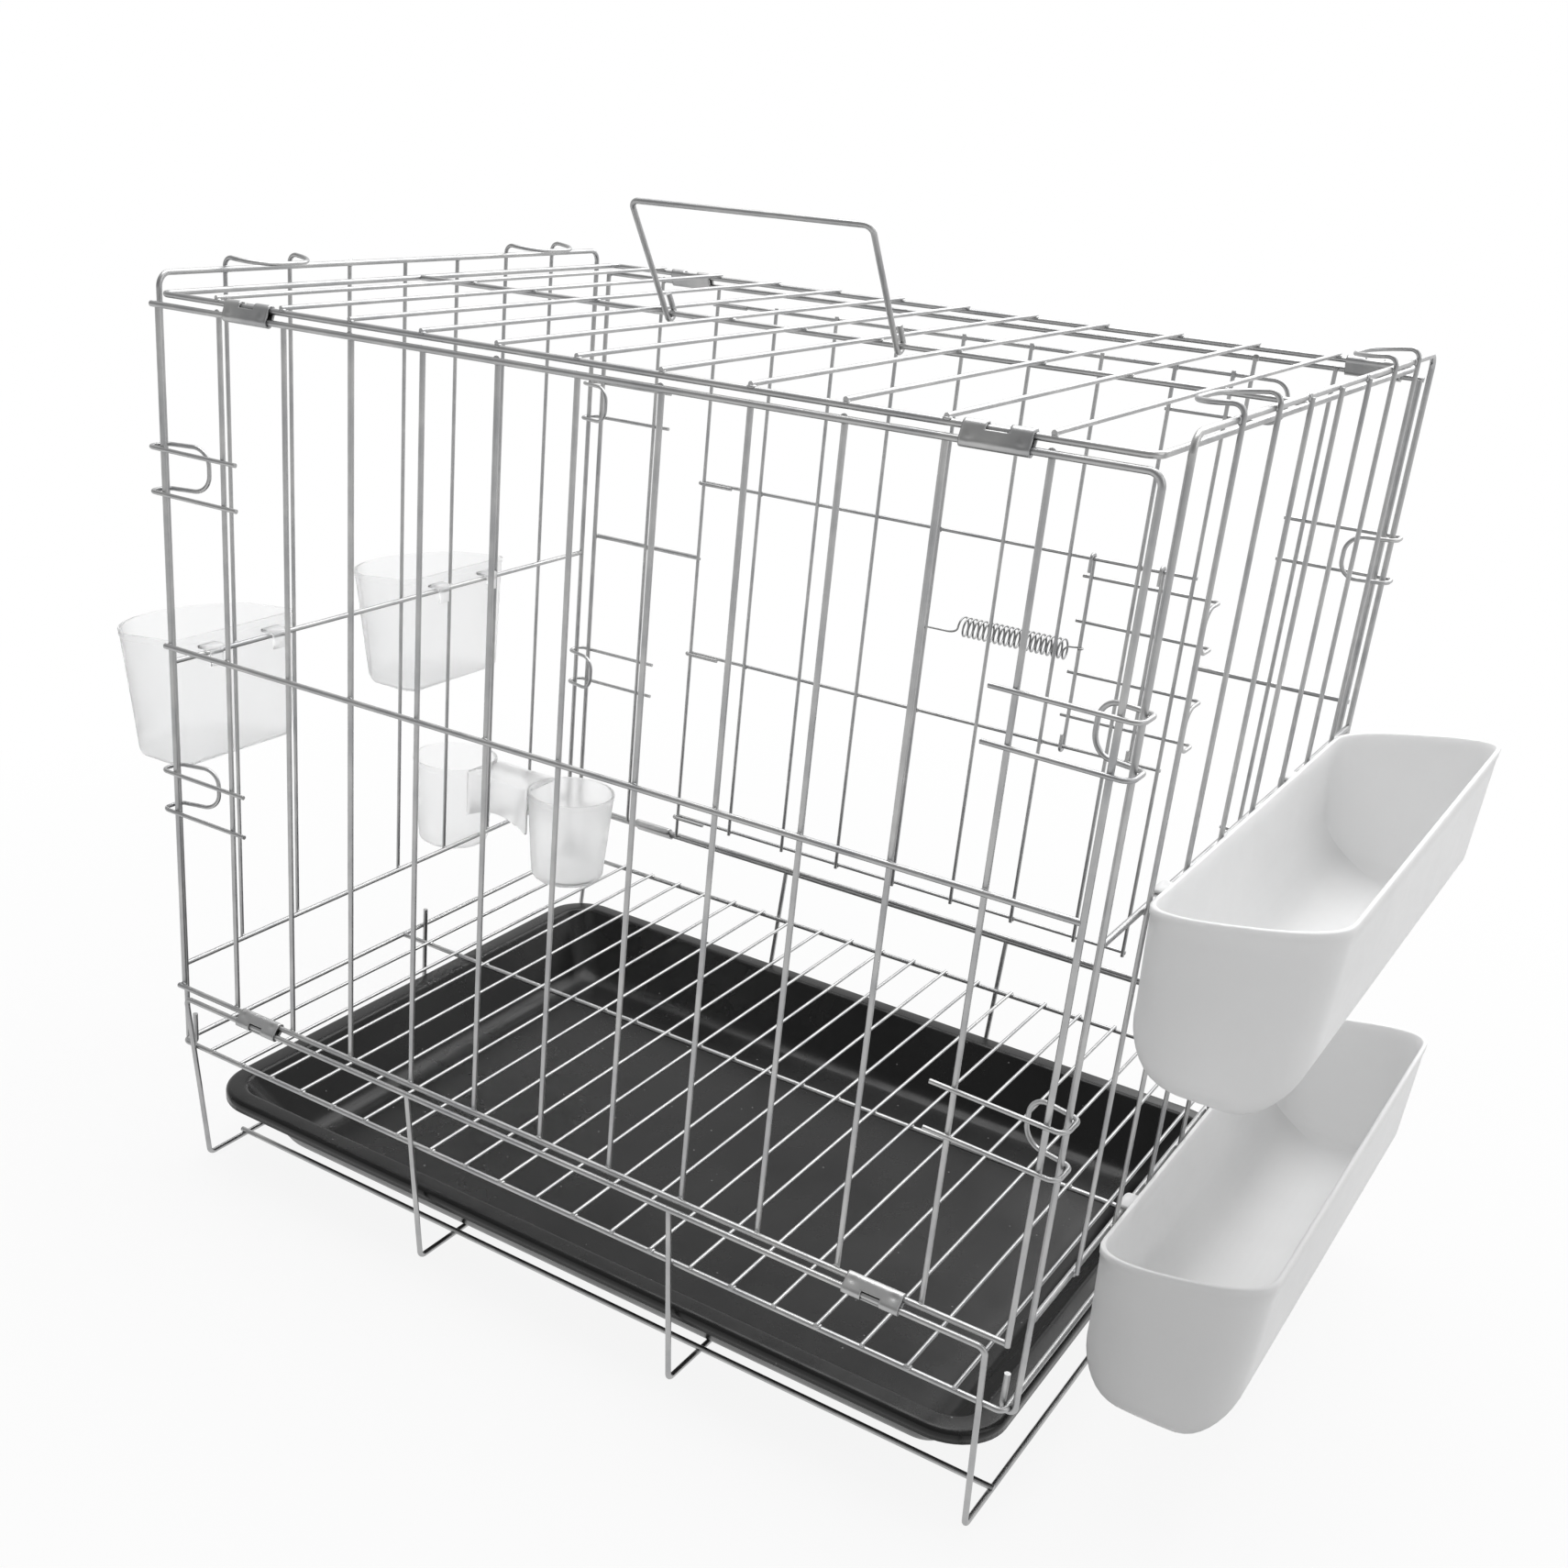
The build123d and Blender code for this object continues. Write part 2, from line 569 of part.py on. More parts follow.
def tabs(side, rail_z, centres):
    """Hooks that pass between the bars and hang over a rail of an end panel."""
    inner = END_X - RAIL / 2 - HOOK_PLAY
    root = POT_X + TAB_ROOT
    tip = inner - TAB_WALL
    top = rail_z + RAIL / 2 + HOOK_PLAY
    solids = []
    for y in centres:
        arm = Pos(side * (root + tip) / 2, y, top + TAB_WALL / 2)
        solids.append(arm * Box(root - tip, TAB_WIDTH, TAB_WALL))
        lip = Pos(side * (inner - TAB_WALL / 2), y, top - TAB_DROP / 2)
        solids.append(lip * Box(TAB_WALL, TAB_WIDTH, TAB_DROP))
    return solids


def trough_body(front, inset):
    """Trough shape: a rounded channel with bulging ends; the inset copy is its inside."""
    low, high = front + inset, front + TROUGH_LENGTH - inset
    near, far = POT_X + inset, POT_X + TROUGH_WIDTH - inset
    middle = (near + far) / 2
    near_foot = (near + TROUGH_NEAR_SLOPE, -TROUGH_SHOULDER)
    far_foot = (far - TROUGH_FAR_SLOPE, -TROUGH_SHOULDER)
    bottom = ((near_foot[0] + far_foot[0]) / 2, inset - TROUGH_DEPTH)
    over = TAB_ROOT if inset else 0.0
    profile = [
        Line((near, over), near_foot),
        ThreePointArc(near_foot, bottom, far_foot),
        Line(far_foot, (far, TROUGH_RISE + over)),
        Line((far, TROUGH_RISE + over), (near, over)),
    ]
    channel = Pos(0, low, 0) * extrude(Plane.XZ * make_face(Wire(profile)), amount=low - high)
    bulge_low, bulge_high = low + TROUGH_BULGE, high - TROUGH_BULGE
    plan = make_face(Wire([
        Line((near, bulge_low), (near, bulge_high)),
        ThreePointArc((near, bulge_high), (middle, high), (far, bulge_high)),
        Line((far, bulge_high), (far, bulge_low)),
        ThreePointArc((far, bulge_low), (middle, low), (near, bulge_low)),
    ]))
    plan = fillet(plan.vertices(), TROUGH_CORNER - inset)
    block = Pos(0, 0, -TROUGH_DEPTH - TAB_ROOT) * extrude(plan, amount=2 * TROUGH_DEPTH)
    return channel & block


def trough(front, rim, rail_z, tab_centres):
    body = trough_body(front, 0.0) - trough_body(front, POT_WALL)
    return weld([(Pos(0, 0, rim) * body).solid()] + tabs(1, rail_z, tab_centres))


def cup_face(half, reach, inset, z):
    """D-shaped outline of a cup, flat against the left end's bars."""
    flat = -POT_X - inset
    half -= inset
    reach -= 2 * inset
    shoulder = flat - CUP_SHOULDER * reach
    outline = [
        Line((flat, -half), (flat, half)),
        Line((flat, half), (shoulder, half)),
        ThreePointArc((shoulder, half), (flat - reach, 0), (shoulder, -half)),
        Line((shoulder, -half), (flat, -half)),
    ]
    return Pos(0, 0, z) * make_face(Wire(outline))


def cup(centre):
    """Tapered cup with a slanted rim, on two hooks."""
    outer = loft([
        cup_face(CUP_FOOT_HALF, CUP_FOOT_REACH, 0.0, -CUP_DEPTH),
        cup_face(CUP_HALF, CUP_REACH, 0.0, 0.0),
    ], ruled=True)
    inside = loft([
        cup_face(CUP_FOOT_HALF, CUP_FOOT_REACH, POT_WALL, POT_WALL - CUP_DEPTH),
        cup_face(CUP_HALF, CUP_REACH, POT_WALL, POT_GAP),
    ], ruled=True)
    above = Pos(0, 0, CUP_DEPTH / 2) * Box(4 * CUP_REACH, 4 * CUP_HALF, CUP_DEPTH)
    slant = Pos(-POT_X, 0, 0) * Rot(0, -CUP_RIM_TILT, 0) * above
    body = Pos(0, centre, CUP_RIM) * (outer - inside - slant)
    spread = (centre - CUP_TAB_SPREAD, centre + CUP_TAB_SPREAD)
    return weld([body.solid()] + tabs(-1, END_MID_Z, spread))


def double_cup():
    """Two round cups on an arched bridge that sits over the left end's bottom rail."""
    low = DOUBLE_RIM - DOUBLE_DEPTH
    sit = END_BOTTOM_Z + RAIL / 2 + HOOK_PLAY
    tall = DOUBLE_RIM - sit
    body = Pos(-END_X, DOUBLE_Y, sit + tall / 2) * Box(2 * DOUBLE_SPREAD, DOUBLE_BRIDGE, tall)
    hollow = Box(2 * DOUBLE_SPREAD, DOUBLE_BRIDGE - 2 * POT_WALL, tall)
    body -= Pos(-END_X, DOUBLE_Y, sit + tall / 2 - POT_WALL) * hollow
    for side in (-1, 1):
        cone = Pos(-END_X + side * DOUBLE_SPREAD, DOUBLE_Y, low + DOUBLE_DEPTH / 2)
        body += cone * Cone(DOUBLE_FOOT, DOUBLE_RADIUS, DOUBLE_DEPTH)
    for side in (-1, 1):
        cone = Pos(-END_X + side * DOUBLE_SPREAD, DOUBLE_Y, low + DOUBLE_DEPTH / 2 + POT_WALL)
        body -= cone * Cone(DOUBLE_FOOT - POT_WALL, DOUBLE_RADIUS - POT_WALL, DOUBLE_DEPTH)
    return body.solid()


def dropping_tray():
    """Tapered tray with a flat rim turned down at its edge."""
    top_size = (TRAY_LENGTH - 2 * TRAY_RIM, TRAY_WIDTH - 2 * TRAY_RIM)
    low_size = (top_size[0] - 2 * TRAY_TAPER, top_size[1] - 2 * TRAY_TAPER)

    def layer(size, inset, corner, z):
        return Pos(0, 0, z) * RectangleRounded(size[0] - 2 * inset, size[1] - 2 * inset, corner - inset)

    inner_corner = TRAY_CORNER - TRAY_RIM
    outer = loft([
        layer(low_size, 0, inner_corner, TRAY_BOTTOM),
        layer(top_size, 0, inner_corner, TRAY_TOP),
    ])
    whole = (TRAY_LENGTH, TRAY_WIDTH)
    rim = extrude(layer(whole, 0, TRAY_CORNER, TRAY_LIP_Z), amount=TRAY_LIP)
    under = layer(whole, TRAY_WALL, TRAY_CORNER, TRAY_LIP_Z)
    rim -= extrude(under, amount=TRAY_LIP - TRAY_WALL)
    floor = TRAY_BOTTOM + TRAY_WALL
    inside = loft([
        layer(low_size, TRAY_WALL, inner_corner, floor),
        layer(top_size, TRAY_WALL, inner_corner, TRAY_TOP),
    ])
    return (outer + rim - inside).solid()


NODES = {
    "base_front_frame": base_rail_frame(-1),
    "base_back_frame": base_rail_frame(1),
    "inner_leg_frames": inner_leg_frames(),
    "foot_tie_wires": foot_tie_wires(),
    "floor_grid": floor_grid(),
    "tray_stop": tray_stop(),
    "base_front_clips": base_clips(-1),
    "base_back_clips": base_clips(1),
    "front_panel": front_panel(),
    "front_left_catches": catches(1, -1, FRONT_LEFT_CATCHES, CATCH_SEAT),
    "front_right_catches": catches(1, 1, FRONT_RIGHT_CATCHES, CATCH_SLANT_SEAT),
    "back_panel": back_panel(),
    "back_left_catches": catches(-1, -1, BACK_LEFT_CATCHES, CATCH_SEAT),
    "back_right_catches": catches(-1, 1, BACK_RIGHT_CATCHES, CATCH_SEAT),
    "door": door(),
    "latch": latch(),
    "latch_spring": latch_spring(),
    "roof_panel": roof_panel(),
    "roof_front_clips": roof_clips(-1),
    "roof_back_clips": roof_clips(1),
    "carry_handle": carry_handle(),
    "left_end_panel": end_panel(-1),
    "left_hairpins": end_hairpins(-1),
    "right_end_panel": end_panel(1),
    "right_hairpins": end_hairpins(1),
    "upper_trough": trough(UPPER_TROUGH_FRONT, UPPER_TROUGH_RIM, END_MID_Z, UPPER_TROUGH_TABS),
    "lower_trough": trough(LOWER_TROUGH_FRONT, LOWER_TROUGH_RIM, END_BOTTOM_Z, LOWER_TROUGH_TABS),
    "left_front_cup": cup(FRONT_CUP_Y),
    "left_back_cup": cup(BACK_CUP_Y),
    "double_cup": double_cup(),
    "dropping_tray": dropping_tray(),
}

os.makedirs("parts", exist_ok=True)
for node, shape in NODES.items():
    export_step(shape, f"parts/{node}.step")
    box = shape.bounding_box()
    print(f"{node}: {len(shape.solids())} solids, {box.size.X:.1f} x {box.size.Y:.1f} x {box.size.Z:.1f}")
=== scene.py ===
import json
import math

import bmesh
import bpy
from mathutils import Matrix, Quaternion, Vector


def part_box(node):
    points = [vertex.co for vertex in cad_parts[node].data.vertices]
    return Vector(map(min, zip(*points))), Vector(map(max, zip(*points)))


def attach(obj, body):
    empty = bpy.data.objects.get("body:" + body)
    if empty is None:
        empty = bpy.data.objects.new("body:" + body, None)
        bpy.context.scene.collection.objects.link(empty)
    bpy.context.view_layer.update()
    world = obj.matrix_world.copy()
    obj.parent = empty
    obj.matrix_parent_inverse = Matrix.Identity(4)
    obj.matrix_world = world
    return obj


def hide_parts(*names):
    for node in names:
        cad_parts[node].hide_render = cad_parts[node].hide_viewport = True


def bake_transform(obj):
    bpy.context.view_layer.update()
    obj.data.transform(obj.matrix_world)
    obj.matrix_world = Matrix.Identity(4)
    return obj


MM = 0.001

# Camera, fitted to the photograph's lattice
CAMERA_PLACE = Vector((0.4014, -0.7290, 0.5280))
CAMERA_AZIMUTH = math.radians(32.865)
CAMERA_ELEVATION = math.radians(23.616)
CAMERA_ROLL = math.radians(3.974)
CAMERA_LENS = 41.47
CAMERA_SHIFT = (0.0959, 0.0629)

# Wire lattices
LENGTH = 450.0 * MM
BAYS = 12
PITCH = LENGTH / BAYS
HALF_DEPTH = 172.0 * MM
RAIL = 2.6 * MM
BAR = 2.0 * MM
WELD = 0.3 * MM
BOTTOM_Z = 101.0 * MM
MID_Z = BOTTOM_Z + 177.0 * MM
TOP_Z = BOTTOM_Z + 330.0 * MM
FLOOR_Z = 68.0 * MM
FLOOR_BAYS = 22
ROOF_STEP = (-1.8 * MM, 4.5 * MM)     # roof rail from the panel's rail: outward, up
BASE_STEP = (3.4 * MM, -3.4 * MM)     # hinge rail from the panel's rail
ROOF_Y = HALF_DEPTH + ROOF_STEP[0]
ROOF_Z = TOP_Z + ROOF_STEP[1]
END_X = LENGTH / 2 + 5.0 * MM
END_AXIS_X = END_X - RAIL - 0.1 * MM
END_EDGE_Y = HALF_DEPTH - 8.0 * MM
END_BAYS = 8
END_PITCH = 2 * END_EDGE_Y / END_BAYS
END_BOTTOM_Z = BOTTOM_Z + 8.0 * MM
END_MID_Z = BOTTOM_Z + 167.0 * MM
END_TOP_Z = TOP_Z + 12.0 * MM
BEAD = 1.75 * MM
BEAD_THICKNESS = 0.85 * MM
BEAD_SHARE = 0.9           # middling size, as a share of BEAD
BEAD_SPREAD = 0.2
BEAD_TURN = 7.3            # radians from one bead's size to the next

# Door and spring
POST_X = LENGTH / 2 - 2 * PITCH
DOOR_Y = 172.15 * MM
DOOR_BAR_Y = 170.45 * MM
DOOR_RAILS_Z = [BOTTOM_Z + rise * MM for rise in (13.0, 119.0, 221.5, 321.0)]
DOOR_EDGE_X = POST_X - 9.0 * MM
LATCH_X = POST_X - 63.0 * MM
LATCH_Y = 174.45 * MM
SPRING_WIRE = 1.1 * MM
SPRING_RADIUS = 5.2 * MM
SPRING_TURNS = 20
SPRING_STEPS = 24          # per turn
SPRING_X = (18.0 * MM, 79.0 * MM)
SPRING_Y = 177.7 * MM
SPRING_Z = BOTTOM_Z + 170.0 * MM
SPRING_LEG_RISE = 3.0 * MM
SPRING_LEGS = (6.0 * MM, 3.0 * MM)
SPRING_LEG_STEP = 1.5 * MM
SPRING_EYE = BAR / 2 + SPRING_WIRE / 2 + 0.15 * MM
EYE_STEPS = 12

# Plastic pots
POT_X = 233.5 * MM
POT_WALL = 1.8 * MM
POT_EDGE = 0.4 * MM
LIP_DEPTH = 3.0 * MM
LIP_STEP = 0.35 * MM
TAB_WIDTH = 12.0 * MM
TAB_WALL = 1.5 * MM
TAB_DROP = 8.0 * MM
TAB_ROOT = 1.0 * MM
TAB_PLAY = 0.2 * MM
TAB_BEND = 1.2 * MM
TAB_TAPER = 0.62           # width of the toe, as a share of the root's
TAB_CHAMFER = 0.3 * MM
FOOT_BEND = 4.0 * MM
INNER_FOOT_BEND = 3.0 * MM
FOOT_REACH = 8.0 * MM

# Troughs
TROUGH_DEPTH = 68.0 * MM
TROUGH_ROUND = 18.0 * MM   # from the front of an end to the straight walls
TROUGH_POWER = 2.6         # squareness of the ends in plan
TROUGH_SHOULDER = 40.0 * MM
TROUGH_NEAR_SLOPE = 1.5 * MM
TROUGH_FAR_SLOPE = 2.5 * MM
TROUGH_LOWER_EDGE = 9.0 * MM
TROUGH_FLAT = 0.05         # radians of the floor's arc that stay flat in the middle
TROUGH_END_STEPS = 24
TROUGH_WALL_ROWS = 5
TROUGH_FLOOR_ROWS = 12
UPPER_TABS = (1.5 * END_PITCH - END_EDGE_Y, 5.5 * END_PITCH - END_EDGE_Y)
LOWER_TABS = (2.5 * END_PITCH - END_EDGE_Y, 6.5 * END_PITCH - END_EDGE_Y)
GATE_RADIUS = 4.5 * MM
GATE_WIRE = 0.3 * MM
GATE_STEPS = 32
GATE_SIDES = 6

# Cups
CUP_HALF = 43.0 * MM
CUP_REACH = 66.0 * MM
CUP_FOOT_HALF = 40.0 * MM
CUP_FOOT_REACH = 53.0 * MM
CUP_SLANT = math.tan(math.radians(6.0))
CUP_SHOULDER = 0.55
CUP_CORNER = 7.0 * MM
CUP_TAB_SPREAD = 21.0 * MM
CUP_BOW_STEPS = 32
CUP_CORNER_STEPS = 8
DOUBLE_FOOT = 22.0 * MM
DOUBLE_RADIUS = 26.5 * MM
DOUBLE_BRIDGE = 30.0 * MM
DOUBLE_ARCH = 0.25         # share of the bridge's height
DOUBLE_STEPS = 48
BRIDGE_EDGE = 1.5 * MM
BRIDGE_STEPS = 24

# Tray
TRAY_CORNER = 26.0 * MM
TRAY_LEAST_CORNER = 12.0 * MM
TRAY_TAPER = 22.0 * MM
TRAY_RIM = 9.0 * MM
TRAY_LIP = 6.0 * MM
TRAY_WALL = 1.8 * MM
TRAY_EDGE_BEND = 2.6 * MM
TRAY_RIM_BEND = 3.2 * MM
TRAY_FLOOR_BEND = 14.0 * MM
TRAY_FLOOR_REACH = 12.0 * MM
TRAY_LEAST_BEND = 0.6 * MM

# Clips
CLIP_LENGTH = 25.0 * MM
CLIP_WALL = 0.9 * MM
CLIP_PLAY = 0.15 * MM
CLIP_ARC = 12              # steps round each end of the section
CLIP_FLAT = 10             # steps along each of its sides
CLIP_ROWS = 30
CLIP_NOTCH = 0.17          # half length of the notch, as a share of the sleeve
CLIP_DENT = 0.45 * MM
CLIP_DENT_SIZE = 1.3 * MM
CLIP_DENT_SHARES = (0.13, 0.87)

# Finishes: darkest tone, lightest tone, then roughness for zinc and clearness for plastic
ZINC_WIRE = (0.38, 0.52, 0.36)
ZINC_SHEET = (0.38, 0.54, 0.4)
SPRING_STEEL = (0.3, 0.43, 0.32)
CUP_PLASTIC = (0.95, 0.99, 0.95)
# Troughs: a darker, less see-through copy of the cup plastic, painted shade for their shaded fronts
SHADED_TROUGH_PLASTIC = (0.86, 0.91, 0.12)
PLASTIC_IOR = 1.18

# Stage
LAMPS = (                  # name, place, size in metres, watts
    ("key", (-0.1, 0.4, 2.1), 1.6, 31.0),
    ("fill", (1.9, 0.1, 1.3), 1.2, 5.0),
    ("back", (0.3, 1.7, 1.5), 1.4, 16.0),
)
LAMP_TARGET = Vector((0, 0, 0.2))
WORLD_LIGHT = (0.29, 1.0)  # strength from the front and from the back
PAPER_SIZE = 8.0
PAPER_DROP = 0.0005
PAPER_TONE = 0.5
PAPER_FADE = (0.25, 0.8)   # distances in metres between which it turns white
PAPER_WHITE = (0.9, 1.0)   # share of white at these distances


def smooth_object(name, mesh, material):
    """A smooth-shaded object with its material."""
    for polygon in mesh.polygons:
        polygon.use_smooth = True
    piece = bpy.data.objects.new(name, mesh)
    bpy.context.scene.collection.objects.link(piece)
    mesh.materials.append(material)
    return piece


def new_piece(name, mesh, body, material):
    """A smooth-shaded object that rides on a CAD body."""
    piece = smooth_object(name, mesh, material)
    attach(piece, body)
    return piece


def add_rings(bm, rings, cap_first=False, cap_last=False):
    """Quads between closed rings of equal length."""
    loops = [[bm.verts.new(point) for point in ring] for ring in rings]
    count = len(loops[0])
    for first, second in zip(loops, loops[1:]):
        for index in range(count):
            after = (index + 1) % count
            bm.faces.new((first[index], first[after], second[after], second[index]))
    if cap_first:
        bm.faces.new(reversed(loops[0]))
    if cap_last:
        bm.faces.new(loops[-1])


def to_mesh(name, bm):
    """A mesh of what was built, with its normals outward."""
    bmesh.ops.recalc_face_normals(bm, faces=bm.faces)
    mesh = bpy.data.meshes.new(name)
    bm.to_mesh(mesh)
    bm.free()
    return mesh


def corner_outline(half_x, half_y, radius, steps=12):
    """Points round a rectangle with rounded corners."""
    points = []
    for quarter, (sx, sy) in enumerate(((1, 1), (-1, 1), (-1, -1), (1, -1))):
        centre = Vector((sx * (half_x - radius), sy * (half_y - radius), 0))
        for step in range(steps + 1):
            angle = (quarter + step / steps) * math.pi / 2
            points.append(centre + Vector((math.cos(angle), math.sin(angle), 0)) * radius)
    return points


def tube(bm, path, radius, sides=10):
    """A round wire along a line of points."""
    rings = []
    normal = (path[1] - path[0]).orthogonal().normalized()
    for index, point in enumerate(path):
        way = (path[min(index + 1, len(path) - 1)] - path[max(index - 1, 0)]).normalized()
        normal = (normal - way * normal.dot(way)).normalized()
        across = way.cross(normal)
        ring = []
        for side in range(sides):
            angle = 2 * math.pi * side / sides
            ring.append(point + (normal * math.cos(angle) + across * math.sin(angle)) * radius)
        rings.append(ring)
    add_rings(bm, rings, cap_first=True, cap_last=True)


def rounded(corners, radii, steps=6):
    """2-D points along a line of corners, with an arc at each inner corner."""
    points = [Vector(corners[0])]
    for before, corner, after, radius in zip(corners, corners[1:], corners[2:], radii):
        corner = Vector(corner)
        back = (Vector(before) - corner).normalized()
        ahead = (Vector(after) - corner).normalized()
        half = back.angle(ahead) / 2
        centre = corner + (back + ahead).normalized() * radius / math.sin(half)
        start = corner + back * radius / math.tan(half) - centre
        end = corner + ahead * radius / math.tan(half) - centre
        points += [centre + start.slerp(end, step / steps) * radius for step in range(steps + 1)]
    points.append(Vector(corners[-1]))
    return points


def noise(nodes, links, place, scale, detail, roughness):
    """Fractal noise over an object's own coordinates."""
    node = nodes.new("ShaderNodeTexNoise")
    node.inputs["Scale"].default_value = scale
    node.inputs["Detail"].default_value = detail
    node.inputs["Roughness"].default_value = roughness
    links.new(place, node.inputs["Vector"])
    return node.outputs["Fac"]


def ramp(nodes, links, value, stops):
    """Colours by (place, colour) pairs along a value."""
    node = nodes.new("ShaderNodeValToRGB")
    elements = node.color_ramp.elements
    while len(elements) < len(stops):
        elements.new(0.5)
    for element, (place, colour) in zip(elements, stops):
        element.position = place
        element.color = (*colour, 1.0)
    links.new(value, node.inputs["Fac"])
    return node.outputs["Color"]


def grey(value):
    """A colour without a hue."""
    return (value, value, value)


def start_material(name):
    """A new material with its shader and the object's coordinates."""
    material = bpy.data.materials.new(name)
    material.use_nodes = True
    nodes = material.node_tree.nodes
    links = material.node_tree.links
    shader = nodes["Principled BSDF"]
    place = nodes.new("ShaderNodeTexCoord").outputs["Object"]
    return material, nodes, links, shader, place


def bump(nodes, links, height, shader, strength, distance):
    """Fine relief on a shader."""
    node = nodes.new("ShaderNodeBump")
    node.inputs["Strength"].default_value = strength
    node.inputs["Distance"].default_value = distance
    links.new(height, node.inputs["Height"])
    links.new(node.outputs["Normal"], shader.inputs["Normal"])


def zinc(name, dark, light, rough):
    """Dull zinc plate: cloudy tone, dull patches and faint draw marks."""
    material, nodes, links, shader, place = start_material(name)
    shader.inputs["Metallic"].default_value = 1.0
    cloud = noise(nodes, links, place, scale=42.0, detail=4.0, roughness=0.6)
    cool = (dark, dark * 1.01, dark * 1.03)
    warm = (light, light, light * 0.99)
    links.new(ramp(nodes, links, cloud, ((0.3, cool), (0.7, warm))), shader.inputs["Base Color"])
    dull = noise(nodes, links, place, scale=110.0, detail=3.0, roughness=0.6)
    shine = ramp(nodes, links, dull, ((0.25, grey(rough - 0.06)), (0.75, grey(rough + 0.1))))
    links.new(shine, shader.inputs["Roughness"])
    marks = noise(nodes, links, place, scale=350.0, detail=2.0, roughness=0.5)
    bump(nodes, links, marks, shader, strength=0.08, distance=0.0002)
    return material


def milky_plastic(name, dark, light, see_through):
    """Thin polypropylene: milky, a little see-through, with flow marks and fine scuffs."""
    material, nodes, links, shader, place = start_material(name)
    flow = noise(nodes, links, place, scale=9.0, detail=4.0, roughness=0.55)
    tone = ramp(nodes, links, flow, ((0.3, (dark, dark * 1.003, dark * 1.005)), (0.7, grey(light))))
    links.new(tone, shader.inputs["Base Color"])
    scuff = noise(nodes, links, place, scale=160.0, detail=5.0, roughness=0.65)
    shine = ramp(nodes, links, scuff, ((0.3, grey(0.3)), (0.75, grey(0.48))))
    links.new(shine, shader.inputs["Roughness"])
    shader.inputs["Transmission Weight"].default_value = see_through
    shader.inputs["IOR"].default_value = PLASTIC_IOR
    shader.inputs["Subsurface Weight"].default_value = 0.35
    shader.inputs["Subsurface Radius"].default_value = (0.01, 0.01, 0.01)
    shader.inputs["Subsurface Scale"].default_value = 1.0
    bump(nodes, links, scuff, shader, strength=0.1, distance=0.0002)
    return material


def black_plastic():
    """Gloss black sheet with soft waves from forming, light dust and rubbed patches."""
    material, nodes, links, shader, place = start_material("black_plastic")
    wear = noise(nodes, links, place, scale=14.0, detail=6.0, roughness=0.65)
    tone = ramp(nodes, links, wear, ((0.35, grey(0.004)), (0.8, grey(0.012))))
    specks = nodes.new("ShaderNodeTexVoronoi")
    specks.inputs["Scale"].default_value = 85.0
    links.new(place, specks.inputs["Vector"])
    dust = ramp(nodes, links, specks.outputs["Distance"], ((0.015, grey(0.2)), (0.05, grey(0.0))))
    mix = nodes.new("ShaderNodeMix")
    mix.data_type = "RGBA"
    mix.blend_type = "ADD"
    mix.inputs["Factor"].default_value = 1.0
    links.new(tone, mix.inputs["A"])
    links.new(dust, mix.inputs["B"])
    links.new(mix.outputs["Result"], shader.inputs["Base Color"])
    shine = ramp(nodes, links, wear, ((0.3, grey(0.2)), (0.8, grey(0.36))))
    links.new(shine, shader.inputs["Roughness"])
    shader.inputs["IOR"].default_value = 1.5
    shader.inputs["Specular IOR Level"].default_value = 0.32
    waves = noise(nodes, links, place, scale=17.0, detail=2.0, roughness=0.4)
    bump(nodes, links, waves, shader, strength=0.3, distance=0.002)
    return material


def dress_nodes(frame, finishes):
    """Finishes for the CAD nodes that stay as they are."""
    for part in frame["record"]["subparts"]:
        finish = finishes[part["material_slot"]]
        piece = frame["nodes"][part["node"]]
        for slot in piece.material_slots:
            slot.material = finish
        for polygon in piece.data.polygons:
            polygon.use_smooth = True


def weld_beads(name, body, places, flat_axis, material):
    """Small lumps of melted wire at the crossings, thin along one axis."""
    bm = bmesh.new()
    for index, place in enumerate(places):
        size = [BEAD * (BEAD_SHARE + BEAD_SPREAD * math.sin(BEAD_TURN * index))] * 3
        size[flat_axis] = BEAD_THICKNESS
        matrix = Matrix.Translation(place) @ Matrix.Diagonal((*size, 1.0))
        bmesh.ops.create_icosphere(bm, subdivisions=2, radius=1.0, matrix=matrix)
    new_piece(name, to_mesh(name, bm), body, material)


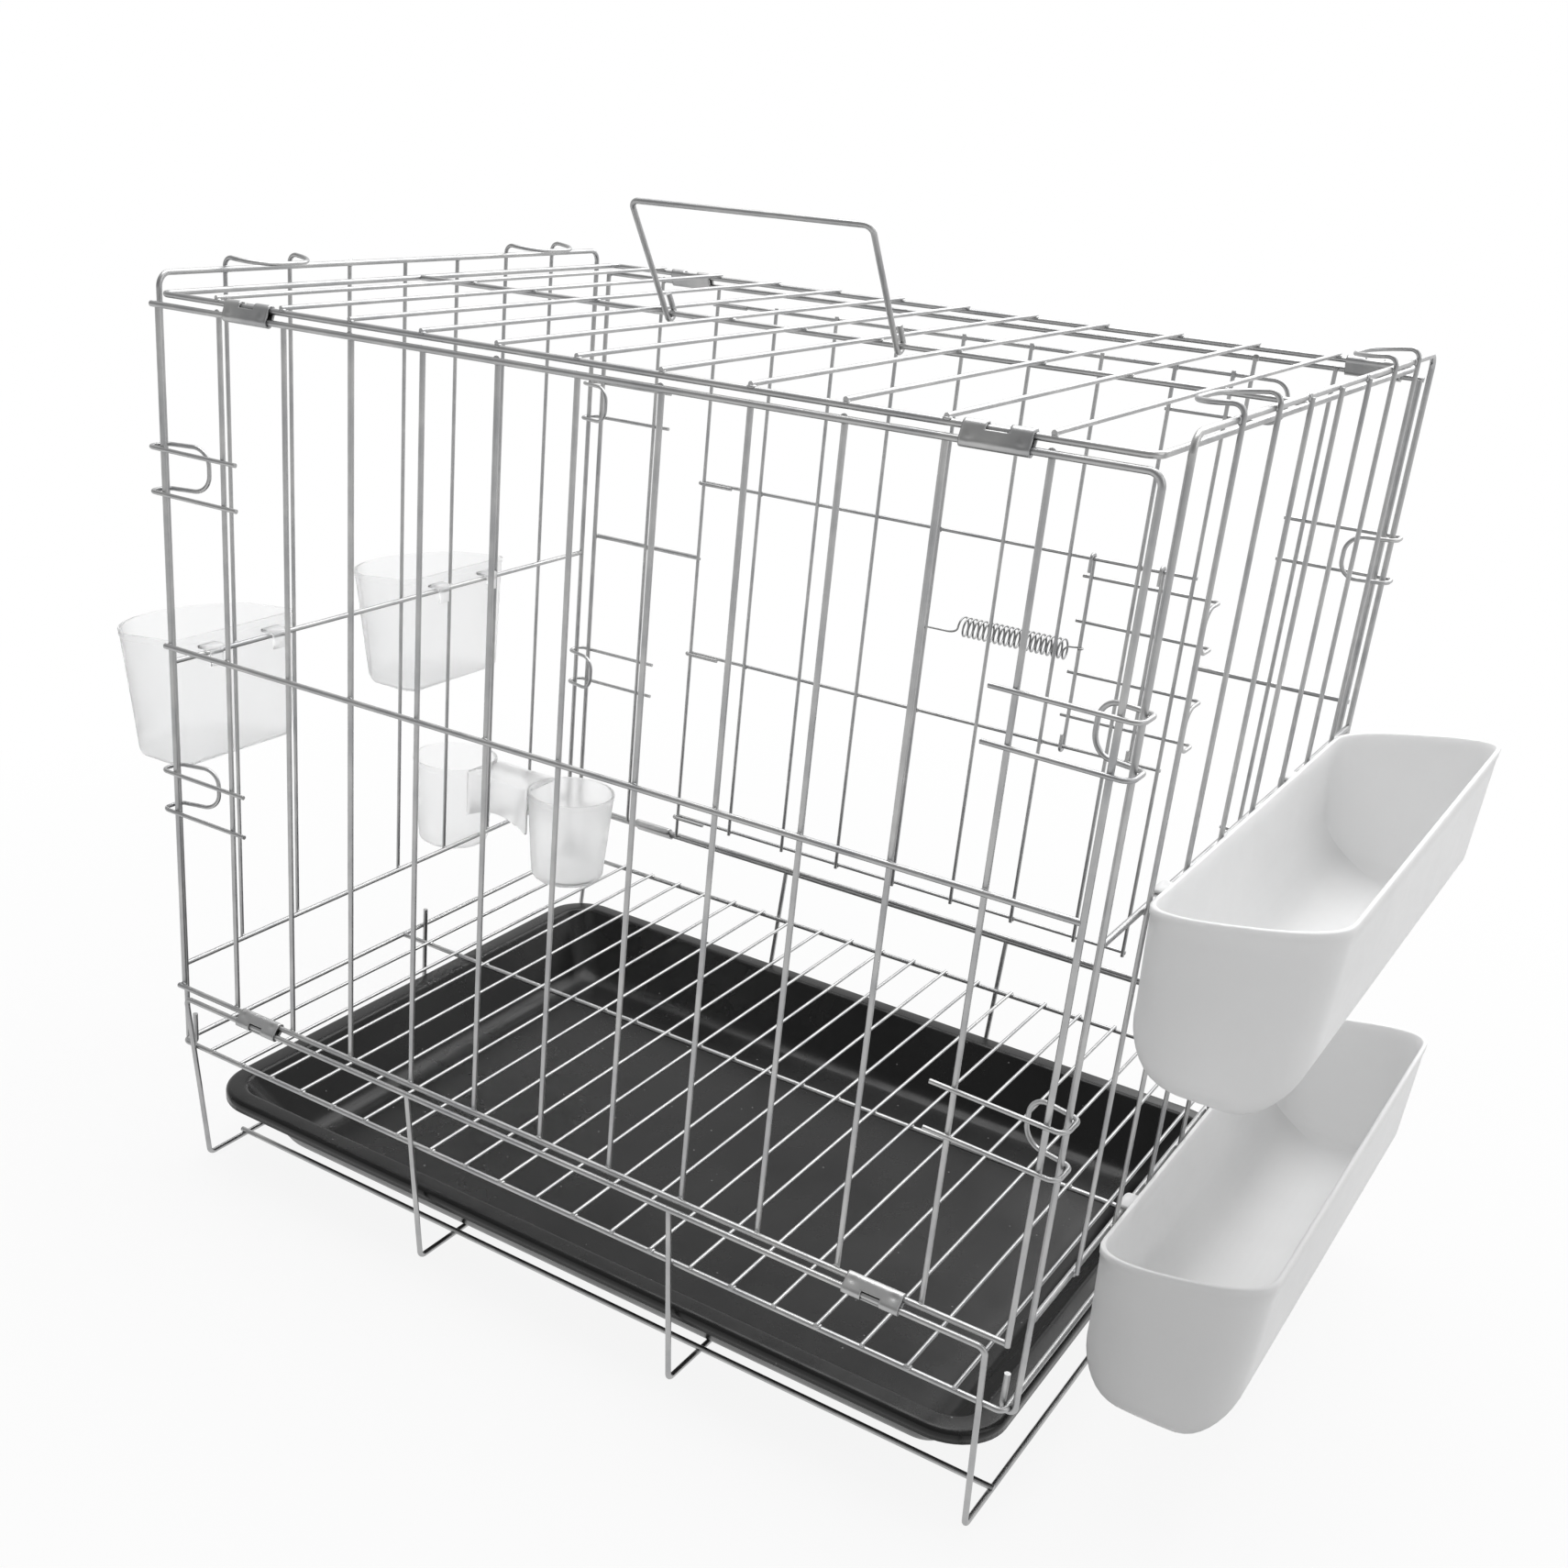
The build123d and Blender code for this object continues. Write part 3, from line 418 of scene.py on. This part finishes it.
def all_weld_beads(material):
    """Beads on every lattice, between its rails and its bars."""
    step_in = (RAIL - WELD) / 2
    bar_xs = [-LENGTH / 2 + index * PITCH for index in range(1, BAYS)]
    edge_xs = (-LENGTH / 2, LENGTH / 2)
    rails = (BOTTOM_Z, MID_Z, TOP_Z)
    front = [(x, step_in - HALF_DEPTH, z) for x in bar_xs + [edge_xs[0]] for z in rails]
    weld_beads("front_panel_welds", "front_panel", front, 1, material)
    side_xs = [x for x in bar_xs if abs(x) >= POST_X - WELD] + list(edge_xs)
    back = [(x, HALF_DEPTH - step_in, z) for x in side_xs for z in rails]
    weld_beads("back_panel_welds", "back_panel", back, 1, material)
    door_xs = [x for x in bar_xs if abs(x) < POST_X - WELD] + [DOOR_EDGE_X]
    door_y = (DOOR_Y + DOOR_BAR_Y) / 2
    door = [(x, door_y, z) for x in door_xs for z in DOOR_RAILS_Z]
    weld_beads("door_welds", "door", door, 1, material)
    roof = [(x, y, ROOF_Z + step_in) for x in bar_xs for y in (-ROOF_Y, 0, ROOF_Y)]
    weld_beads("roof_welds", "roof", roof, 2, material)
    floor_step = 2 * END_AXIS_X / FLOOR_BAYS
    floor_xs = [-END_AXIS_X + index * floor_step for index in range(1, FLOOR_BAYS)]
    floor_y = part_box("floor_grid")[1].y - RAIL / 2
    floor = [(x, y, FLOOR_Z + step_in) for x in floor_xs for y in (-floor_y, 0, floor_y)]
    weld_beads("floor_welds", "base", floor, 2, material)
    end_ys = [-END_EDGE_Y + index * END_PITCH for index in range(1, END_BAYS)]
    end_rails = (END_BOTTOM_Z, END_MID_Z, END_TOP_Z)
    for body, side in (("left_end", -1), ("right_end", 1)):
        end = [(side * (END_X + step_in), y, z) for y in end_ys for z in end_rails]
        weld_beads(f"{body}_welds", body, end, 0, material)


def bend_between(start, start_way, end, end_way, steps=10):
    """Points on a smooth curve that keeps both directions, without its first point."""
    reach = (end - start).length
    points = []
    for step in range(1, steps + 1):
        t = step / steps
        points.append(
            start * (2 * t ** 3 - 3 * t ** 2 + 1)
            + start_way * reach * (t ** 3 - 2 * t ** 2 + t)
            + end * (3 * t ** 2 - 2 * t ** 3)
            + end_way * reach * (t ** 3 - t ** 2)
        )
    return points


def half_eye(x, y, z, side):
    """Half a turn round an upright, from its inner side to its outer side."""
    points = []
    for step in range(EYE_STEPS + 1):
        angle = -math.pi / 2 + math.pi * step / EYE_STEPS
        offset = Vector((side * math.cos(angle), math.sin(angle), 0)) * SPRING_EYE
        points.append(Vector((x, y, z)) + offset)
    return points


def latch_spring(material):
    """Coil with a hook round the door's upright and one round the latch."""
    start_x, end_x = SPRING_X
    lead = (end_x - start_x) / (2 * math.pi * SPRING_TURNS)
    coil = []
    for index in range(SPRING_STEPS * SPRING_TURNS + 1):
        angle = 2 * math.pi * index / SPRING_STEPS
        around = Vector((0, -math.cos(angle), math.sin(angle))) * SPRING_RADIUS
        coil.append(Vector((start_x + lead * angle, SPRING_Y, SPRING_Z)) + around)
    ahead = Vector((1, 0, 0))
    way = Vector((lead, 0, SPRING_RADIUS)).normalized()
    low, high = SPRING_Z - SPRING_LEG_RISE, SPRING_Z + SPRING_LEG_RISE
    path = half_eye(0, DOOR_BAR_Y, low, -1)
    leg = Vector((start_x - SPRING_LEGS[0], coil[0].y, low))
    path += bend_between(path[-1], ahead, leg, ahead)
    path += bend_between(leg, ahead, coil[0], way)
    path += coil[1:]
    leg = Vector((end_x + SPRING_LEGS[1], coil[-1].y + SPRING_LEG_STEP, high))
    path += bend_between(coil[-1], way, leg, ahead)
    hook = list(reversed(half_eye(LATCH_X, LATCH_Y, high, 1)))
    path += bend_between(leg, ahead, hook[0], ahead)
    path += hook[1:]
    bm = bmesh.new()
    tube(bm, path, SPRING_WIRE / 2)
    piece = smooth_object("latch_coil", to_mesh("latch_coil", bm), material)
    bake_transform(piece)
    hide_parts("latch_spring")


def dropping_tray(material):
    """Tapered tray with a rolled rim, swept round its corners."""
    low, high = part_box("dropping_tray")
    half_x = (high.x - low.x) / 2
    half_y = (high.y - low.y) / 2
    centre = (low + high) / 2
    top, bottom = high.z, low.z
    lip = top - TRAY_LIP
    inner = TRAY_RIM + TRAY_WALL
    foot = inner + TRAY_TAPER
    flat = foot + TRAY_FLOOR_REACH
    under = rounded(
        [(flat, bottom), (foot - TRAY_WALL, bottom), (TRAY_RIM, top - TRAY_WALL),
         (TRAY_WALL, top - TRAY_WALL), (TRAY_WALL, lip), (0.0, lip)],
        [TRAY_FLOOR_BEND, TRAY_RIM_BEND, TRAY_LEAST_BEND, TRAY_LEAST_BEND],
    )
    over = rounded(
        [(0.0, lip), (0.0, top), (inner, top), (foot, bottom + TRAY_WALL), (flat, bottom + TRAY_WALL)],
        [TRAY_EDGE_BEND, TRAY_RIM_BEND, TRAY_FLOOR_BEND],
    )
    bm = bmesh.new()
    rings = []
    for inset, z in under + over[1:]:
        corner = max(TRAY_CORNER - inset, TRAY_LEAST_CORNER)
        outline = corner_outline(half_x - inset, half_y - inset, corner)
        rings.append([Vector((centre.x, centre.y, z)) + point for point in outline])
    add_rings(bm, rings, cap_first=True, cap_last=True)
    piece = new_piece("tray_moulding", to_mesh("tray_moulding", bm), "tray", material)
    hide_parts("dropping_tray")


def hook_tabs(bm, side, rail_z, centres):
    """Tapered straps that pass between the bars and turn down behind a rail."""
    drop_x = END_X - RAIL / 2 - TAB_PLAY - TAB_WALL / 2
    level = rail_z + RAIL / 2 + TAB_PLAY + TAB_WALL / 2
    toe = level - TAB_WALL / 2 - TAB_DROP
    path = rounded([(POT_X + TAB_ROOT, level), (drop_x, level), (drop_x, toe)], [TAB_BEND])
    thick = TAB_WALL / 2
    for y in centres:
        rings = []
        for index, point in enumerate(path):
            way = (path[min(index + 1, len(path) - 1)] - path[max(index - 1, 0)]).normalized()
            half = TAB_WIDTH / 2 * (1 - (1 - TAB_TAPER) * index / (len(path) - 1))
            edge = half - TAB_CHAMFER
            flank = thick - TAB_CHAMFER
            outline = [(half, flank), (edge, thick), (-edge, thick), (-half, flank)]
            outline += [(-across, -up) for across, up in outline]
            rings.append([
                Vector((side * (point.x - way.y * up), y + across, point.y + way.x * up))
                for across, up in outline
            ])
        add_rings(bm, rings, cap_first=True, cap_last=True)


def gate_mark(bm, centre, tilt):
    """Thin ring on a trough's inner wall, tilted as the wall is."""
    up_wall = Vector((math.sin(tilt), 0, math.cos(tilt)))
    path = []
    for step in range(GATE_STEPS + 1):
        angle = 2 * math.pi * step / GATE_STEPS
        path.append(centre + (up_wall * math.sin(angle) + Vector((0, math.cos(angle), 0))) * GATE_RADIUS)
    tube(bm, path, GATE_WIRE, GATE_SIDES)


def trough(node, rail_z, tab_centres, material):
    """Rounded channel with bulging ends, a faint lip, two hook straps and a gate mark."""
    low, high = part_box(node)
    near, far = POT_X, high.x
    rim = low.z + TROUGH_DEPTH
    rise = high.z - rim
    arc_half = (far - near - TROUGH_NEAR_SLOPE - TROUGH_FAR_SLOPE) / 2
    arc_mid = near + TROUGH_NEAR_SLOPE + arc_half
    arc_deep = TROUGH_DEPTH - TROUGH_SHOULDER
    arc_radius = (arc_half ** 2 + arc_deep ** 2) / (2 * arc_deep)
    arc_z = low.z + arc_radius
    arc_start = math.asin((arc_z - rim + TROUGH_SHOULDER) / arc_radius)

    def ring(near_point, far_point, middle, half, inset):
        """Closed outline at one level, rounded at both ends."""
        points = []
        for end_y, way in ((high.y, 1), (low.y, -1)):
            for step in range(TROUGH_END_STEPS + 1):
                across = 0.5 + 0.5 * way * math.cos(math.pi * step / TROUGH_END_STEPS)
                x = near_point[0] + (far_point[0] - near_point[0]) * across
                z = near_point[1] + (far_point[1] - near_point[1]) * across
                aside = min(abs(x - middle) / half, 1.0)
                sag = TROUGH_ROUND * (1 - (1 - aside ** TROUGH_POWER) ** (1 / TROUGH_POWER))
                edge = max(TROUGH_LOWER_EDGE - (z - low.z - inset), 0.0)
                pull = TROUGH_LOWER_EDGE - math.sqrt(max(TROUGH_LOWER_EDGE ** 2 - edge ** 2, 0.0))
                points.append(Vector((x, end_y - way * (inset + sag + pull), z)))
        return points

    def wall_ring(share, inset):
        """Outline between the rim and the shoulder."""
        near_point = (near + TROUGH_NEAR_SLOPE * share + inset, rim - TROUGH_SHOULDER * share)
        far_point = (far - TROUGH_FAR_SLOPE * share - inset, rim + rise - (TROUGH_SHOULDER + rise) * share)
        middle, half = (near_point[0] + far_point[0]) / 2, (far_point[0] - near_point[0]) / 2
        return ring(near_point, far_point, middle, half, inset)

    def arc_ring(share, inset):
        """Outline between the shoulder and the bottom."""
        angle = arc_start + (math.pi / 2 - TROUGH_FLAT - arc_start) * share
        radius = arc_radius - inset
        reach, z = radius * math.cos(angle), arc_z - radius * math.sin(angle)
        return ring((arc_mid - reach, z), (arc_mid + reach, z), arc_mid, arc_half - inset, inset)

    small = POT_EDGE / TROUGH_SHOULDER
    lip = LIP_DEPTH / TROUGH_SHOULDER
    shares = [(row + 1) / TROUGH_WALL_ROWS for row in range(TROUGH_WALL_ROWS)]
    arcs = [(row + 1) / TROUGH_FLOOR_ROWS for row in range(TROUGH_FLOOR_ROWS)]
    outer = [wall_ring(0.0, POT_EDGE), wall_ring(small, 0.0), wall_ring(lip, 0.0)]
    outer += [wall_ring(lip + small, LIP_STEP)] + [wall_ring(share, LIP_STEP) for share in shares]
    outer += [arc_ring(share, LIP_STEP) for share in arcs]
    inner = [wall_ring(0.0, POT_WALL - POT_EDGE), wall_ring(small, POT_WALL)]
    inner += [wall_ring(share, POT_WALL) for share in shares]
    inner += [arc_ring(share, POT_WALL) for share in arcs]
    bm = bmesh.new()
    add_rings(bm, list(reversed(outer)) + inner, cap_first=True, cap_last=True)
    hook_tabs(bm, 1, rail_z, tab_centres)
    gate_x = far - POT_WALL - TROUGH_FAR_SLOPE / 2
    gate = Vector((gate_x, (low.y + high.y) / 2, rim - TROUGH_SHOULDER / 2))
    gate_mark(bm, gate, math.atan2(TROUGH_FAR_SLOPE, TROUGH_SHOULDER))
    piece = new_piece(f"{node}_moulding", to_mesh(node, bm), node, material)
    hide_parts(node)


def pot_section(depth):
    """Wall of a pot as (down, inset) points, from under its foot over the rim to its floor."""
    floor = depth - POT_WALL
    corners = [
        (depth, FOOT_REACH), (depth, LIP_STEP), (LIP_DEPTH + POT_EDGE, LIP_STEP), (LIP_DEPTH, 0.0),
        (0.0, 0.0), (0.0, POT_WALL), (floor, POT_WALL), (floor, FOOT_REACH),
    ]
    return rounded(corners, [FOOT_BEND, POT_EDGE / 4, POT_EDGE / 4, POT_EDGE, POT_EDGE, INNER_FOOT_BEND])


def cup_ring(flat, centre_y, half, reach):
    """D-shaped outline with rounded corners next to the bars."""
    bow = reach * (1 - CUP_SHOULDER)
    radius = (half ** 2 + bow ** 2) / (2 * bow)
    turn = math.asin(half / radius)
    points = []
    for step in range(CUP_BOW_STEPS + 1):
        angle = turn - 2 * turn * step / CUP_BOW_STEPS
        x = flat - reach + radius * (1 - math.cos(angle))
        points.append(Vector((x, centre_y + radius * math.sin(angle), 0)))
    for way in (-1, 1):
        centre = Vector((flat - CUP_CORNER, centre_y + way * (half - CUP_CORNER), 0))
        for step in range(CUP_CORNER_STEPS + 1):
            quarter = step / CUP_CORNER_STEPS
            angle = math.pi / 2 * (quarter if way == 1 else quarter - 1)
            points.append(centre + Vector((math.cos(angle), math.sin(angle), 0)) * CUP_CORNER)
    return points


def cup(node, rail_z, material):
    """Tapered cup with a slanted rim, a faint lip, a rounded foot and two hook straps."""
    low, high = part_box(node)
    centre_y = (low.y + high.y) / 2
    depth = high.z - low.z
    rings = []
    for down, inset in pot_section(depth):
        slant = CUP_SLANT * (1 - down / depth)
        share = (down + slant * CUP_REACH) / depth
        half = CUP_HALF - (CUP_HALF - CUP_FOOT_HALF) * share - inset
        reach = CUP_REACH - (CUP_REACH - CUP_FOOT_REACH) * share - 2 * inset
        outline = cup_ring(-POT_X - inset, centre_y, half, reach)
        rings.append([Vector((p.x, p.y, high.z - down + slant * (p.x + POT_X))) for p in outline])
    bm = bmesh.new()
    add_rings(bm, rings, cap_first=True, cap_last=True)
    hook_tabs(bm, -1, rail_z, (centre_y - CUP_TAB_SPREAD, centre_y + CUP_TAB_SPREAD))
    piece = new_piece(f"{node}_moulding", to_mesh(node, bm), node, material)
    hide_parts(node)


def round_ring(centre, radius, z):
    """Points round a level circle."""
    turns = [2 * math.pi * step / DOUBLE_STEPS for step in range(DOUBLE_STEPS)]
    return [Vector((centre.x + radius * math.cos(a), centre.y + radius * math.sin(a), z)) for a in turns]


def double_cup(material):
    """Two tapered round cups joined by an arched bridge over the bottom rail."""
    low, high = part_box("double_cup")
    top = high.z
    depth = top - low.z
    centre_y = (low.y + high.y) / 2
    spread = (high.x - low.x) / 2 - DOUBLE_RADIUS
    bm = bmesh.new()
    for side in (-1, 1):
        centre = Vector((-END_X + side * spread, centre_y, 0))
        rings = []
        for down, inset in pot_section(depth):
            radius = DOUBLE_RADIUS - (DOUBLE_RADIUS - DOUBLE_FOOT) * down / depth - inset
            rings.append(round_ring(centre, radius, top - down))
        add_rings(bm, rings, cap_first=True, cap_last=True)
    reach = spread - DOUBLE_FOOT
    seat = END_BOTTOM_Z + RAIL / 2 + TAB_PLAY
    crown = top - POT_EDGE
    half = DOUBLE_BRIDGE / 2
    inner = half - POT_WALL
    sections = []
    for step in range(BRIDGE_STEPS + 1):
        along = -reach + 2 * reach * step / BRIDGE_STEPS
        under = seat + (crown - seat) * DOUBLE_ARCH * math.cos(math.pi / 2 * along / reach)
        outline = rounded([(-half, under), (-half, crown), (half, crown), (half, under)], [BRIDGE_EDGE] * 2)
        outline += [(inner, under), (inner, crown - POT_WALL), (-inner, crown - POT_WALL), (-inner, under)]
        sections.append([Vector((along - END_X, centre_y + y, z)) for y, z in outline])
    add_rings(bm, sections, cap_first=True, cap_last=True)
    mesh = to_mesh("double_cup", bm)
    piece = new_piece("double_cup_moulding", mesh, "double_cup", material)
    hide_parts("double_cup")


def clip_section(half_gap, radius):
    """Flattened ring round two rails, as (along, across) points from the panel's rail."""
    points = []
    for end in (1, -1):
        for step in range(CLIP_ARC):
            angle = math.pi * step / CLIP_ARC - math.pi / 2
            points.append(Vector((half_gap + radius * math.cos(angle), radius * math.sin(angle))) * end)
        for step in range(CLIP_FLAT):
            points.append(Vector((half_gap * (1 - 2 * step / CLIP_FLAT), radius)) * end)
    return points


def clip_dent(share, point, radius):
    """Depth of the two small dimples on the sleeve's outer side."""
    depth = 0.0
    for dent_share in CLIP_DENT_SHARES:
        gap = math.hypot((share - dent_share) * CLIP_LENGTH, point.x - radius / 2)
        depth += CLIP_DENT * math.exp(-(gap / CLIP_DENT_SIZE) ** 2)
    return depth if point.y > radius / 2 else 0.0


def clip_is_open(row, step):
    """Whether a cell of the sleeve lies in its notch, beside the fixed rail."""
    share = (row + 0.5) / CLIP_ROWS - 0.5
    first = CLIP_ARC + CLIP_FLAT
    return abs(share) < CLIP_NOTCH and first - CLIP_FLAT // 5 <= step < first + CLIP_ARC * 2 // 3


def sleeve(bm, middle, along, across, half_gap):
    """One folded sheet sleeve, from its start along +X, with its notch left open."""
    bore = RAIL / 2 + CLIP_PLAY
    shells = []
    for radius in (bore + CLIP_WALL, bore):
        section = clip_section(half_gap, radius)
        grid = []
        for row in range(CLIP_ROWS + 1):
            share = row / CLIP_ROWS
            place = middle + Vector((share * CLIP_LENGTH, 0, 0))
            points = [
                place + along * point.x + across * (point.y - clip_dent(share, point, radius))
                for point in section
            ]
            grid.append([bm.verts.new(point) for point in points])
        shells.append(grid)
    outer, inner = shells
    partner = {}
    for outer_row, inner_row in zip(outer, inner):
        partner.update(zip(outer_row, inner_row))
    count = len(outer[0])
    for row in range(CLIP_ROWS):
        for step in range(count):
            if clip_is_open(row, step):
                continue
            after = (step + 1) % count
            cell = [outer[row][step], outer[row][after], outer[row + 1][after], outer[row + 1][step]]
            bm.faces.new(cell)
            bm.faces.new([partner[vert] for vert in reversed(cell)])
    for edge in [edge for edge in bm.edges if edge.is_boundary]:
        first, second = edge.verts
        if first in partner and second in partner:
            bm.faces.new((first, second, partner[second], partner[first]))


def clip_pair(node, body, side, rail_z, fixed_step, material):
    """Sleeves folded round a panel's rail and a fixed rail, with a notch and two dimples."""
    low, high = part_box(node)
    rail = Vector((0, side * HALF_DEPTH, rail_z))
    fixed = rail + Vector((0, side * fixed_step[0], fixed_step[1]))
    middle = (rail + fixed) / 2
    along = (rail - fixed).normalized()
    across = Vector((0, -along.z, along.y))
    across *= 1 if across.y * side > 0 else -1
    half_gap = (rail - fixed).length / 2
    bm = bmesh.new()
    for start_x in (low.x, high.x - CLIP_LENGTH):
        sleeve(bm, middle + Vector((start_x, 0, 0)), along, across, half_gap)
    loose = [vert for vert in bm.verts if not vert.link_faces]
    bmesh.ops.delete(bm, geom=loose, context="VERTS")
    piece = new_piece(f"{node}_sheet", to_mesh(node, bm), body, material)
    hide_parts(node)


def largest(nodes, links, values):
    """The greatest of several sockets."""
    result = values[0]
    for value in values[1:]:
        node = nodes.new("ShaderNodeMath")
        node.operation = "MAXIMUM"
        links.new(result, node.inputs[0])
        links.new(value, node.inputs[1])
        result = node.outputs["Value"]
    return result


def map_range(nodes, links, value, source, target):
    """A value carried from one range to another."""
    node = nodes.new("ShaderNodeMapRange")
    node.inputs["From Min"].default_value, node.inputs["From Max"].default_value = source
    node.inputs["To Min"].default_value, node.inputs["To Max"].default_value = target
    links.new(value, node.inputs["Value"])
    return node.outputs["Result"]


def surroundings():
    """White for the camera; for light and reflections, dimmer towards the front."""
    world = bpy.data.worlds.new("studio")
    bpy.context.scene.world = world
    world.use_nodes = True
    nodes, links = world.node_tree.nodes, world.node_tree.links
    background = nodes["Background"]
    background.inputs["Color"].default_value = (1, 1, 1, 1)
    path = nodes.new("ShaderNodeLightPath").outputs
    seen = largest(nodes, links, [path["Is Camera Ray"], path["Is Transmission Ray"]])
    direction = nodes.new("ShaderNodeSeparateXYZ")
    links.new(nodes.new("ShaderNodeTexCoord").outputs["Generated"], direction.inputs["Vector"])
    depth_light = map_range(nodes, links, direction.outputs["Y"], (-1.0, 1.0), WORLD_LIGHT)
    strength = largest(nodes, links, [depth_light, seen])
    links.new(strength, background.inputs["Strength"])


def paper_floor():
    """Pale floor that fades to white away from the object and keeps its soft shadow."""
    bpy.ops.mesh.primitive_plane_add(size=PAPER_SIZE, location=(0, 0, -PAPER_DROP))
    floor = bpy.context.object
    floor.name = "floor"
    material, nodes, links, shader, place = start_material("floor_paper")
    shader.inputs["Base Color"].default_value = (*grey(PAPER_TONE), 1)
    shader.inputs["Roughness"].default_value = 0.9
    glow = nodes.new("ShaderNodeEmission")
    glow.inputs["Color"].default_value = (1, 1, 1, 1)
    path = nodes.new("ShaderNodeLightPath").outputs
    rays = ("Is Camera Ray", "Is Glossy Ray", "Is Transmission Ray")
    seen = largest(nodes, links, [path[ray] for ray in rays])
    away = nodes.new("ShaderNodeVectorMath")
    away.operation = "LENGTH"
    links.new(place, away.inputs[0])
    share = map_range(nodes, links, away.outputs["Value"], PAPER_FADE, PAPER_WHITE)
    both = nodes.new("ShaderNodeMath")
    both.operation = "MULTIPLY"
    links.new(seen, both.inputs[0])
    links.new(share, both.inputs[1])
    mix = nodes.new("ShaderNodeMixShader")
    links.new(both.outputs["Value"], mix.inputs["Fac"])
    links.new(shader.outputs["BSDF"], mix.inputs[1])
    links.new(glow.outputs["Emission"], mix.inputs[2])
    links.new(mix.outputs["Shader"], nodes["Material Output"].inputs["Surface"])
    floor.data.materials.append(material)


def lamps():
    """Soft boxes: one overhead, a weaker one on the right, one behind."""
    for name, place, size, power in LAMPS:
        data = bpy.data.lights.new(name, "AREA")
        data.energy = power
        data.size = size
        lamp = bpy.data.objects.new(name, data)
        lamp.location = place
        aim = LAMP_TARGET - Vector(place)
        lamp.rotation_mode = "QUATERNION"
        lamp.rotation_quaternion = aim.to_track_quat("-Z", "Y")
        bpy.context.scene.collection.objects.link(lamp)


def camera():
    """The photograph's viewpoint and frame."""
    data = bpy.data.cameras.new("camera")
    data.sensor_width = 36.0
    data.lens = CAMERA_LENS
    data.shift_x, data.shift_y = CAMERA_SHIFT
    data.clip_start = 0.01
    piece = bpy.data.objects.new("camera", data)
    piece.location = CAMERA_PLACE
    level = math.cos(CAMERA_ELEVATION)
    aside, away = -math.sin(CAMERA_AZIMUTH) * level, math.cos(CAMERA_AZIMUTH) * level
    ahead = Vector((aside, away, -math.sin(CAMERA_ELEVATION)))
    piece.rotation_mode = "QUATERNION"
    roll = Quaternion((0, 0, 1), CAMERA_ROLL)
    piece.rotation_quaternion = ahead.to_track_quat("-Z", "Y") @ roll
    bpy.context.scene.collection.objects.link(piece)
    bpy.context.scene.camera = piece


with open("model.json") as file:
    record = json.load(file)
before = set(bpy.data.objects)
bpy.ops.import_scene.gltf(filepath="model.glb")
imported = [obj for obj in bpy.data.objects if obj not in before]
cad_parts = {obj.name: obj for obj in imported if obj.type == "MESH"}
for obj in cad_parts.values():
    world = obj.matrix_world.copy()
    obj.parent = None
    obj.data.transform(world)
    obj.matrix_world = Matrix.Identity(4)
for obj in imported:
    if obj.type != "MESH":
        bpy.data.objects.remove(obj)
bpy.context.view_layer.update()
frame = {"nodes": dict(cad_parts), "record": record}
bpy.context.scene.view_settings.view_transform = "Standard"

finishes = {
    "zinc_wire": zinc("zinc_wire", *ZINC_WIRE),
    "zinc_sheet": zinc("zinc_sheet", *ZINC_SHEET),
    "spring_steel": zinc("spring_steel", *SPRING_STEEL),
    "milky_plastic": milky_plastic("milky_plastic", *CUP_PLASTIC),
    "black_plastic": black_plastic(),
}
# The troughs' plastic is a darker copy of the cups' plastic: painted shade for the troughs' shaded fronts
shaded_trough_plastic = milky_plastic("shaded_trough_plastic", *SHADED_TROUGH_PLASTIC)
dress_nodes(frame, finishes)
all_weld_beads(finishes["zinc_wire"])
latch_spring(finishes["spring_steel"])
dropping_tray(finishes["black_plastic"])
trough("upper_trough", END_MID_Z, UPPER_TABS, shaded_trough_plastic)
trough("lower_trough", END_BOTTOM_Z, LOWER_TABS, shaded_trough_plastic)
cup("left_front_cup", END_MID_Z, finishes["milky_plastic"])
cup("left_back_cup", END_MID_Z, finishes["milky_plastic"])
double_cup(finishes["milky_plastic"])
for side_name, side in (("front", -1), ("back", 1)):
    clip_pair(f"base_{side_name}_clips", "base", side, BOTTOM_Z, BASE_STEP, finishes["zinc_sheet"])
    clip_pair(f"roof_{side_name}_clips", "roof", side, TOP_Z, ROOF_STEP, finishes["zinc_sheet"])

surroundings()
paper_floor()
lamps()
camera()
